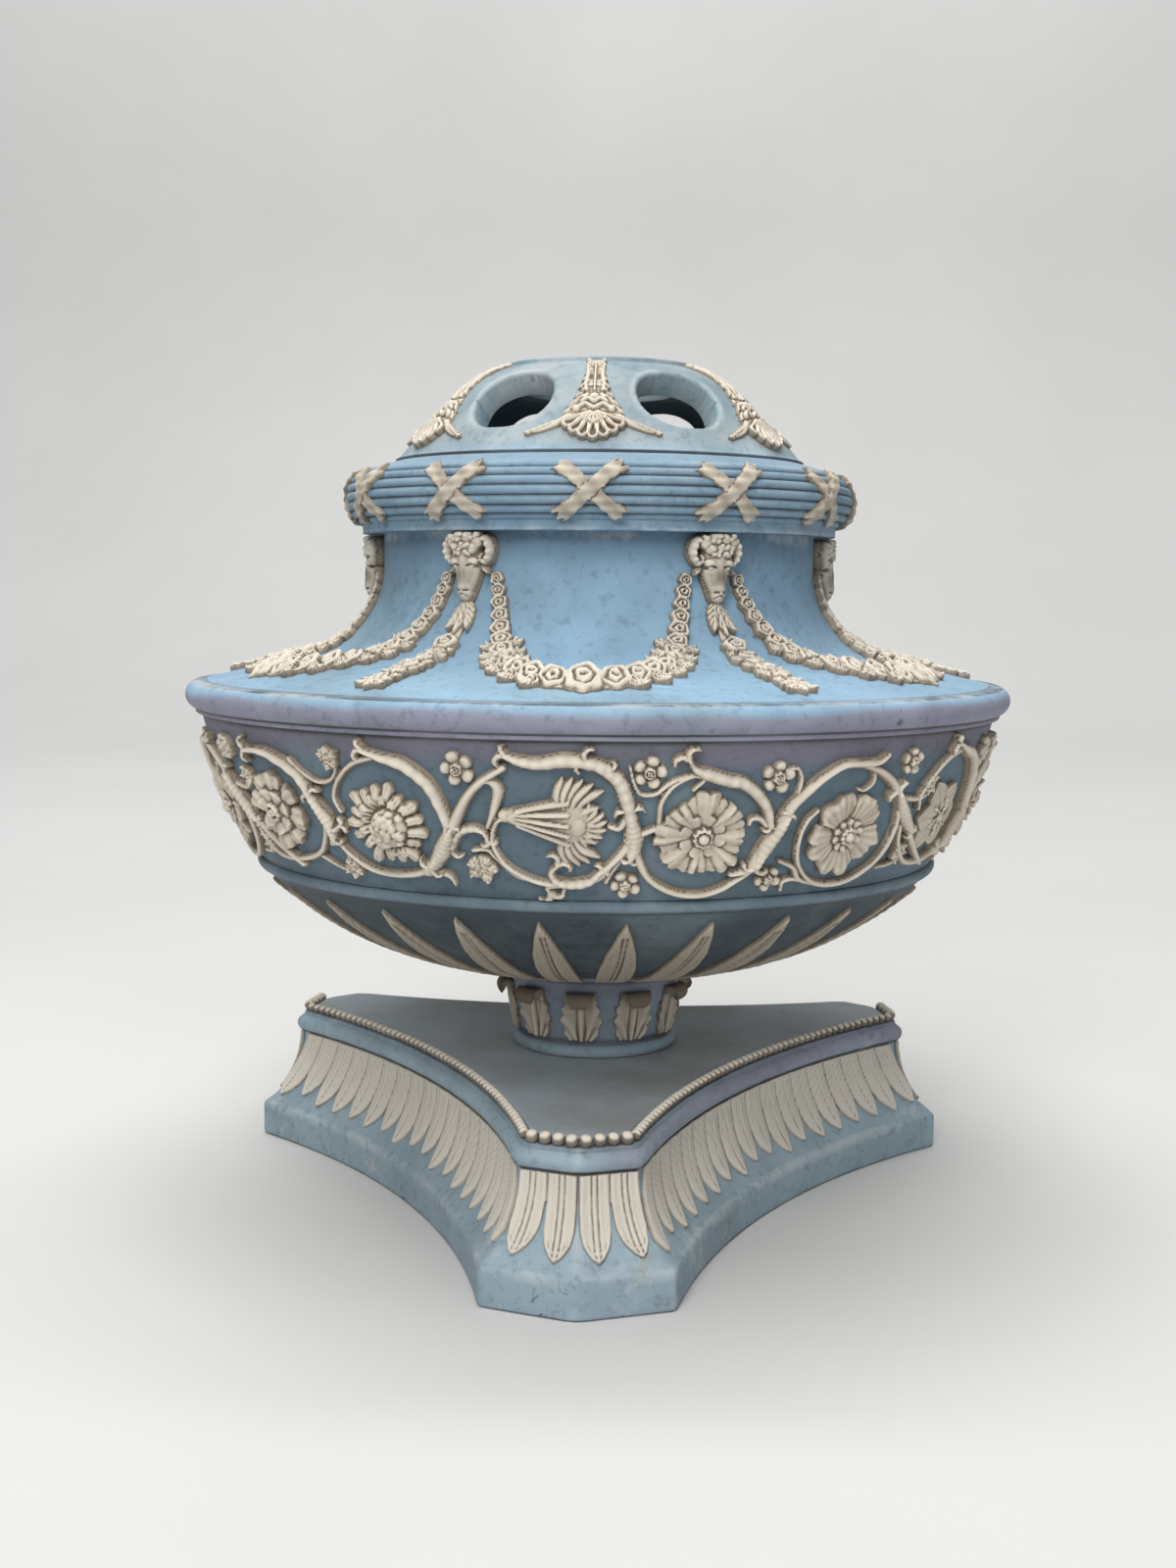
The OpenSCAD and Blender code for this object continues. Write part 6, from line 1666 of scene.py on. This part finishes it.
def side_leaf_relief():
    skin = SideSkin(np.stack([SIDE_ARC + flare(40)[:, 0], flare(40)[:, 1]], 1))
    run = skin.run
    half_turn = radians(20.6)
    f = Relief(skin, np.arange(-half_turn, half_turn, 0.5 / SIDE_ARC), np.arange(0.4, run - 0.15, 0.5),
               run / 2)
    count = sizes().side_leaf_count
    # The corner between side and prow, as an angle about the side's own centre
    spread = np.interp(f.S, [0, run], [radians(19.7), radians(17.4)])
    t = f.S / run
    q = f.AZ / spread
    cell = (q * 0.985 + 1) / 2 * count
    k = np.clip(np.floor(cell), 0, count - 1)
    p = 2 * (cell - k) - 1
    pitch = spread * f.R / count
    rng = np.random.default_rng(12)
    tip = (0.15 + 0.05 * rng.uniform(-1, 1, count))[k.astype(int)]
    lean = 0.25 * np.sign(0.5 * count - k - 0.5)
    pl = p - lean * unit(0.5 - t)
    half = ramp((t - tip) / 0.5,
                [(-.02, -.3), (0, 0), (.08, .26), (.2, .52), (.38, .78), (.6, .93), (.9, .985), (1.6, 1.0)])
    d = (half - np.abs(pl)) * pitch
    d = np.minimum(d, (1 - np.abs(q)) * spread * f.R)
    u = unit(np.abs(pl) / np.maximum(half, 0.05))
    h = 0.55 + 0.75 * dome(u * 0.97) * ramp(t, [(0, 1), (.55, .95), (.8, .8), (1, .65)])
    h = h - 0.30 * tent(pl * pitch, 0.45) * (t < 0.92)
    h = h + 0.10 * np.cos(pl * pitch * 5.2) * unit(t * 1.6 - 0.2)
    f.lay(EVERYWHERE, d, h)
    return f


def facet_span(inset):
    """Where a facet starts at the prow's edge and ends at the concave side, along the facet in mm."""
    d = FACET_REACH - inset
    n = np.array([sin(PROW_ANGLE), cos(PROW_ANGLE)])
    t = np.array([cos(PROW_ANGLE), -sin(PROW_ANGLE)])
    c = SIDE_CENTRE * np.array([sin(TAU / 6), cos(TAU / 6)])
    q = n * d - c
    tc = t @ c
    return -d * tan(PROW_ANGLE), tc - sqrt(tc * tc - q @ q + (SIDE_ARC + inset) ** 2)


def prow_leaf_relief():
    fl = flare(40)
    skin = FacetSkin(np.stack([FACET_REACH - fl[:, 0], fl[:, 1]], 1))
    run = skin.run
    spans = np.array([facet_span(v) for v in fl[:, 0]])
    f = Relief(skin, np.arange(-46, 6, 0.33), np.arange(0.5, run - 0.1, 0.4), run / 2)
    x, s = f.AZ, f.S
    t = s / run
    lo = np.interp(s, skin.s, spans[:, 0])
    hi = np.interp(s, skin.s, spans[:, 1])
    cell = np.clip((x - lo) / np.maximum(hi - lo, 1), -0.5, 1.5) * 2
    k = unit(np.floor(cell))
    p = 2 * (cell - k) - 1
    pitch = (hi - lo) / 4
    tip = np.where(k == 0, 0.11, 0.13)
    half = ramp((t - tip) / 0.55,
                [(-.02, -.3), (0, 0), (.12, .32), (.35, .68), (.6, .86), (1.0, .93), (1.7, .95)])
    d = (half - np.abs(p)) * pitch
    u = unit(np.abs(p) / np.maximum(half, 0.05))
    h = 0.75 + 0.25 * dome(u) + 0.42 * tent(d - 0.55, 0.5)
    rib = np.abs(p) * pitch
    h = h + 0.30 * tent(rib, 0.45) - 0.24 * tent(rib - 0.9, 0.5) * (t > tip + 0.12)
    h = h + 0.07 * np.cos(p * pitch * 4.4)
    f.lay(EVERYWHERE, d, h)
    return f


def bead_points():
    """Places of the pearls along the deck's edge, each with its turn and scale."""
    out = []
    lo, hi = facet_span(BEAD_IN)
    run = hi - lo
    n = int(run / (2 * BEAD_R + PROW_GAP))
    d = FACET_REACH - BEAD_IN
    for i in range(3):
        for hand in (-1, 1):
            # The side at the back has no pearls
            if (i if hand > 0 else (i + 2) % 3) == 1:
                continue
            a = i * TAU / 3 + hand * PROW_ANGLE
            for k in range(n):
                out.append((*beside(d, hand * (lo + (k + 0.5) * run / n), a), BEAD_Z, a, PROW_PEARL))
    r = SIDE_ARC + BEAD_IN
    x, y = beside(d, hi, PROW_ANGLE)
    c = SIDE_CENTRE * np.array([sin(TAU / 6), cos(TAU / 6)])
    half = radians(30) - atan2(c[1] + y, c[0] - x) - 0.8 * (2 * BEAD_R) / r
    m = int(2 * half * r / (2 * BEAD_R + SIDE_GAP))
    for i in (0, 2):
        a0 = (i + 0.5) * TAU / 3
        cx, cy = SIDE_CENTRE * sin(a0), -SIDE_CENTRE * cos(a0)
        for k in range(m + 1):
            a = a0 + pi + half * (2 * k / m - 1)
            out.append((cx + r * sin(a), cy - r * cos(a), BEAD_Z, a, SIDE_PEARL))
    return np.array(out)


# Operators

class BuildBodies(bpy.types.Operator):
    """Turns and lofts the blue bodies of the vase and its cover"""
    bl_idname = "vase.bodies"
    bl_label = "Blue bodies"

    def execute(self, context):
        bowl, stem, shoulder, collar = body_sections()
        # Painted shade in the creases below the rim's roll and a dark joint at the shoulder's seat; the reeded
        # collar spreads its dirt and painted shade along the grooves
        creases = [(147.2, 147.6, 0.4), (148.7, 149.4, 0.75), (156.3, 156.8, 0.66)]
        for name, section, node, n, dark_bands, reach in (
                ("bowl_turned", bowl, "bowl", 300, creases, 0), ("stem_turned", stem, "stem", 160, (), 0),
                ("shoulder_turned", shoulder, "shoulder", 300, [(156.6, 157.2, 0.46)], 0),
                ("collar_reeded", collar, "reeded_collar", 300, (), 3)):
            hand_over(put(name, turned(name, section, n, dark_bands, reach), blue()), VASE, BLUE, node)
        hand_over(put("plinth_block", plinth_mesh(), blue()), VASE, BLUE, "plinth")
        hand_over(put("cover_pierced", shell("cover_pierced", *cover_form()), blue()), COVER, BLUE,
                  "pierced_cover")
        return {"FINISHED"}


class BuildFrieze(bpy.types.Operator):
    """Lays the scroll, its sheaths, florets, leaves and six kinds of flower on the bowl's wall"""
    bl_idname = "vase.frieze"
    bl_label = "Frieze"

    def execute(self, context):
        for name, node, lay, rows, lily_rows, cell in (
                ("frieze_vine", "frieze_scroll_vine", lay_stems, STEMS, [STEMS[k] for k in LILY_STEMS], 0.37),
                ("frieze_sheaths", "frieze_leaf_sheaths", lay_sheaths, SHEATHS,
                 [SHEATHS[k] for k in LILY_SHEATHS], 0.40),
                ("frieze_small_florets", "frieze_florets", lay_each(floret), FLORETS, FLORETS[:1], 0.36),
                ("frieze_leaves", "frieze_vine_leaves", lay_each(vine_leaf), VINE_LEAVES, VINE_LEAVES[:1],
                 0.36)):
            hand_over(frieze_ring(name, lay, rows, lily_rows, cell), VASE, CREAM, node)
        for kind, lay in FLOWERS.items():
            x, y = FLOWER_PLACES[kind]
            f = frieze_field(x - FLOWER_HALF, x + FLOWER_HALF, FLOWER_CELL)
            lay(f, x / FRIEZE_R, y + BASE_Y)
            name = "frieze_" + kind
            count = LILY_REPEATS if kind == "lilies" else FRONT_REPEATS
            me = ring(name, f.mesh(name + "_one", seed=5), count, frieze_step(), sizes().frieze_turn)
            cream_piece(name + "_carved", name, me)
        return {"FINISHED"}


class BuildShoulder(bpy.types.Operator):
    """Hangs the ram heads, swags and drops round the neck and shoulder"""
    bl_idname = "vase.shoulder"
    bl_label = "Shoulder reliefs"

    def execute(self, context):
        n = sizes().swag_count
        for name, node, relief, start in (("swags_of_roses", "flower_swags", swag_relief(), 0.0),
                                          ("drops_of_leaves", "pendant_drops", drop_relief(), TAU / n / 2),
                                          ("ram_heads_carved", "ram_heads", ram_relief(), TAU / n / 2)):
            ring_piece(name, node, relief.mesh(name + "_one", seed=9), n, start)
        return {"FINISHED"}


class BuildCollar(bpy.types.Operator):
    """Ties the crossed ribbons round the collar and sets the palmettes on the cover"""
    bl_idname = "vase.collar"
    bl_label = "Ties and palmettes"

    def execute(self, context):
        tie = tie_relief().mesh("tie_one", sink=0.6, seed=2)
        ring_piece("ties_crossed", "ribbon_ties", tie, sizes().tie_count)
        palmette = palmette_relief().mesh("palmette_one", grain=0.04, seed=2)
        ring_piece("palmettes", "cover_palmettes", palmette, sizes().swag_count, body=COVER)
        return {"FINISHED"}


class BuildLeaves(bpy.types.Operator):
    """Lays the rays under the bowl, the acanthus round the stem and the leaves and pearls of the plinth"""
    bl_idname = "vase.leaves"
    bl_label = "Leaves and pearls"

    def execute(self, context):
        n = sizes().ray_count
        ring_piece("rays", "bowl_ray_leaves", ray_relief().mesh("ray_one", seed=6), n, TAU / n / 2)
        leaf = acanthus_relief().mesh("acanthus_one", sink=0.5, seed=6)
        ring_piece("acanthus", "stem_acanthus_leaves", leaf, sizes().acanthus_count, radians(-7))
        side = side_leaf_relief().mesh("side_one", grain=0.04, seed=7)
        ring_piece("side_leaves", "plinth_side_leaves", side, 3)
        one = prow_leaf_relief().mesh("prow_one", grain=0.04, seed=7)
        other = one.copy()
        other.transform(Matrix.Scale(-1, 4, (1, 0, 0)))
        other.flip_normals()
        ring_piece("prow_leaves", "plinth_prow_leaves", merged("prow_pair", [one, other]), 3)
        path = bpy.data.meshes.new("pearl_places")
        pearls = bead_points()
        path.from_pydata((pearls[:, :3] * MM).tolist(), [], [])
        for label, column in (("turn", 3), ("scale", 4)):
            path.attributes.new(label, "FLOAT", "POINT").data.foreach_set("value", pearls[:, column])
        me = grown("pearls", path, bead_tree(), Radius=BEAD_R * MM, Finish=cream())
        cream_piece("pearls", "plinth_bead_string", me)
        return {"FINISHED"}


class BuildBolt(bpy.types.Operator):
    """Finishes the tie bolt, its washers and its nut"""
    bl_idname = "vase.bolt"
    bl_label = "Tie bolt"

    def execute(self, context):
        for node, finish in (("tie_bolt", iron()), ("foot_washer", iron()), ("tie_nut", iron()),
                             ("head_washer", leather())):
            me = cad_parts[node].data
            if not me.materials:
                me.materials.append(finish)
            for k in range(len(me.materials)):
                me.materials[k] = finish
        return {"FINISHED"}


# Lamps as name, place, aim, size in metres, power in watts and tint
WARM, COOL, PLAIN = (1.0, 0.985, 0.965), (0.97, 0.985, 1.0), (1, 1, 1)
LAMPS = (
    ("overhead", (-0.15, -0.15, 1.40), (0, 0, 0.12), (1.0, 0.8), 9.2, WARM),
    ("high_key", (-0.15, -1.05, 1.35), (0, 0, 0.12), (0.6, 0.5), 8.0, WARM),
    ("low_key", (-0.40, -1.45, 0.90), (0, 0, 0.12), (0.45, 0.45), 8.5, WARM),
    ("front_fill", (1.0, -1.6, 0.70), (0, 0, 0.10), (1.0, 0.8), 4.4, COOL),
    ("backdrop_wash", (0, 0.9, 2.6), (0, 2.2, 0.7), (3.0, 0.8), 56.0, PLAIN),
)
WORLD_TINT, WORLD_STRENGTH = (0.92, 0.96, 1.0), 0.18
# The photograph's camera: focal length and frame height in pixels, sensor in mm, place in metres, angles
FOCAL_PX, FRAME_PX, SENSOR = 1939.1, 1600, 36.0
CAMERA_AT = (0, -0.5887, 0.1866)
AROUND, TILT, ROLL, YAW = (radians(v) for v in (1.9, 6.051, 0.529, -0.257))


def lay_sweep():
    """A pale floor that curves up into the backdrop."""
    def pale(w, shader, at):
        tone = w.span(w.noise(at, 3.0, 3.0), 0.3, 0.7, 0.97, 1.03, False)
        colour = w.mix(1.0, colours().floor, w.grey(tone), "MULTIPLY")
        w.fill(shader, Base_Color=colour, Roughness=0.9, Specular_IOR_Level=0.1)

    run = joined(line((-2600, 0), (1500, 0), 10), arc(1500, 700, 700, -90, 0, 24),
                 line((2200, 700), (2200, 3200), 4))
    verts = [(x * MM, y * MM, z * MM) for y, z in run for x in (-3000, 3000)]
    me = bpy.data.meshes.new("stage_sweep")
    me.from_pydata(verts, [], [(2 * i, 2 * i + 1, 2 * i + 3, 2 * i + 2) for i in range(len(run) - 1)])
    me.shade_smooth()
    put("stage_sweep", me, finish_of("pale_sweep", pale))


def hang_lamps(scene):
    """The soft lamps and a dim, cool world."""
    for name, where, to, size, watts, tint in LAMPS:
        light = bpy.data.lights.new(name, "AREA")
        light.shape = "RECTANGLE"
        light.size, light.size_y = size
        light.energy, light.color = watts, tint
        ob = bpy.data.objects.new(name, light)
        scene.collection.objects.link(ob)
        aim = (Vector(where) - Vector(to)).to_track_quat("Z", "Y")
        ob.matrix_world = Matrix.Translation(where) @ aim.to_matrix().to_4x4()
    scene.world = bpy.data.worlds.new("studio")
    scene.world.use_nodes = True
    back = scene.world.node_tree.nodes["Background"]
    Wiring(scene.world.node_tree).fill(back, Color=(*WORLD_TINT, 1.0), Strength=WORLD_STRENGTH)


def set_camera(scene):
    """The camera from which the photograph was taken."""
    cam = bpy.data.cameras.new("photo_camera")
    cam.sensor_fit = "AUTO"
    cam.sensor_width = SENSOR
    cam.lens = FOCAL_PX / FRAME_PX * SENSOR
    cam.clip_start, cam.clip_end = 0.01, 30.0
    ob = bpy.data.objects.new("photo_camera", cam)
    scene.collection.objects.link(ob)
    ahead = np.array([sin(YAW) * cos(TILT), cos(YAW) * cos(TILT), -sin(TILT)])
    right = np.array([cos(YAW), -sin(YAW), 0.0])
    up = np.cross(right, ahead)
    right, up = right * cos(ROLL) + up * sin(ROLL), -right * sin(ROLL) + up * cos(ROLL)
    pose = Matrix.Identity(4)
    for k in range(3):
        pose[k][0], pose[k][1], pose[k][2] = right[k], up[k], -ahead[k]
    ob.matrix_world = Matrix.Rotation(AROUND, 4, "Z") @ Matrix.Translation(CAMERA_AT) @ pose
    scene.camera = ob


class BuildStage(bpy.types.Operator):
    """Sets the floor, backdrop, soft lights and the camera"""
    bl_idname = "vase.stage"
    bl_label = "Stage"

    def execute(self, context):
        context.scene.view_settings.view_transform = "Standard"
        lay_sweep()
        hang_lamps(context.scene)
        set_camera(context.scene)
        return {"FINISHED"}


class VasePanel(bpy.types.Panel):
    """Shows the settings of the vase and the steps that build it"""
    bl_idname = "VIEW3D_PT_potpourri_vase"
    bl_label = "Potpourri Vase"
    bl_space_type = "VIEW_3D"
    bl_region_type = "UI"
    bl_category = "Vase"

    def draw(self, context):
        for settings in (context.scene.vase_sizes, context.scene.vase_colours):
            for key in settings.__annotations__:
                self.layout.prop(settings, key)
        for step in STEPS:
            self.layout.operator(step.bl_idname)


STEPS = (BuildStage, BuildBodies, BuildFrieze, BuildShoulder, BuildCollar, BuildLeaves, BuildBolt)
CLASSES = (VaseSizes, VaseColours) + STEPS + (VasePanel,)


def register():
    for cls in CLASSES:
        bpy.utils.register_class(cls)
    bpy.types.Scene.vase_sizes = PointerProperty(type=VaseSizes)
    bpy.types.Scene.vase_colours = PointerProperty(type=VaseColours)


def unregister():
    del bpy.types.Scene.vase_colours
    del bpy.types.Scene.vase_sizes
    for cls in reversed(CLASSES):
        bpy.utils.unregister_class(cls)


def main():
    register()
    bpy.ops.vase.stage()
    bpy.ops.vase.bodies()
    bpy.ops.vase.frieze()
    bpy.ops.vase.shoulder()
    bpy.ops.vase.collar()
    bpy.ops.vase.leaves()
    bpy.ops.vase.bolt()
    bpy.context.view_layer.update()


if __name__ == "__main__":
    main()
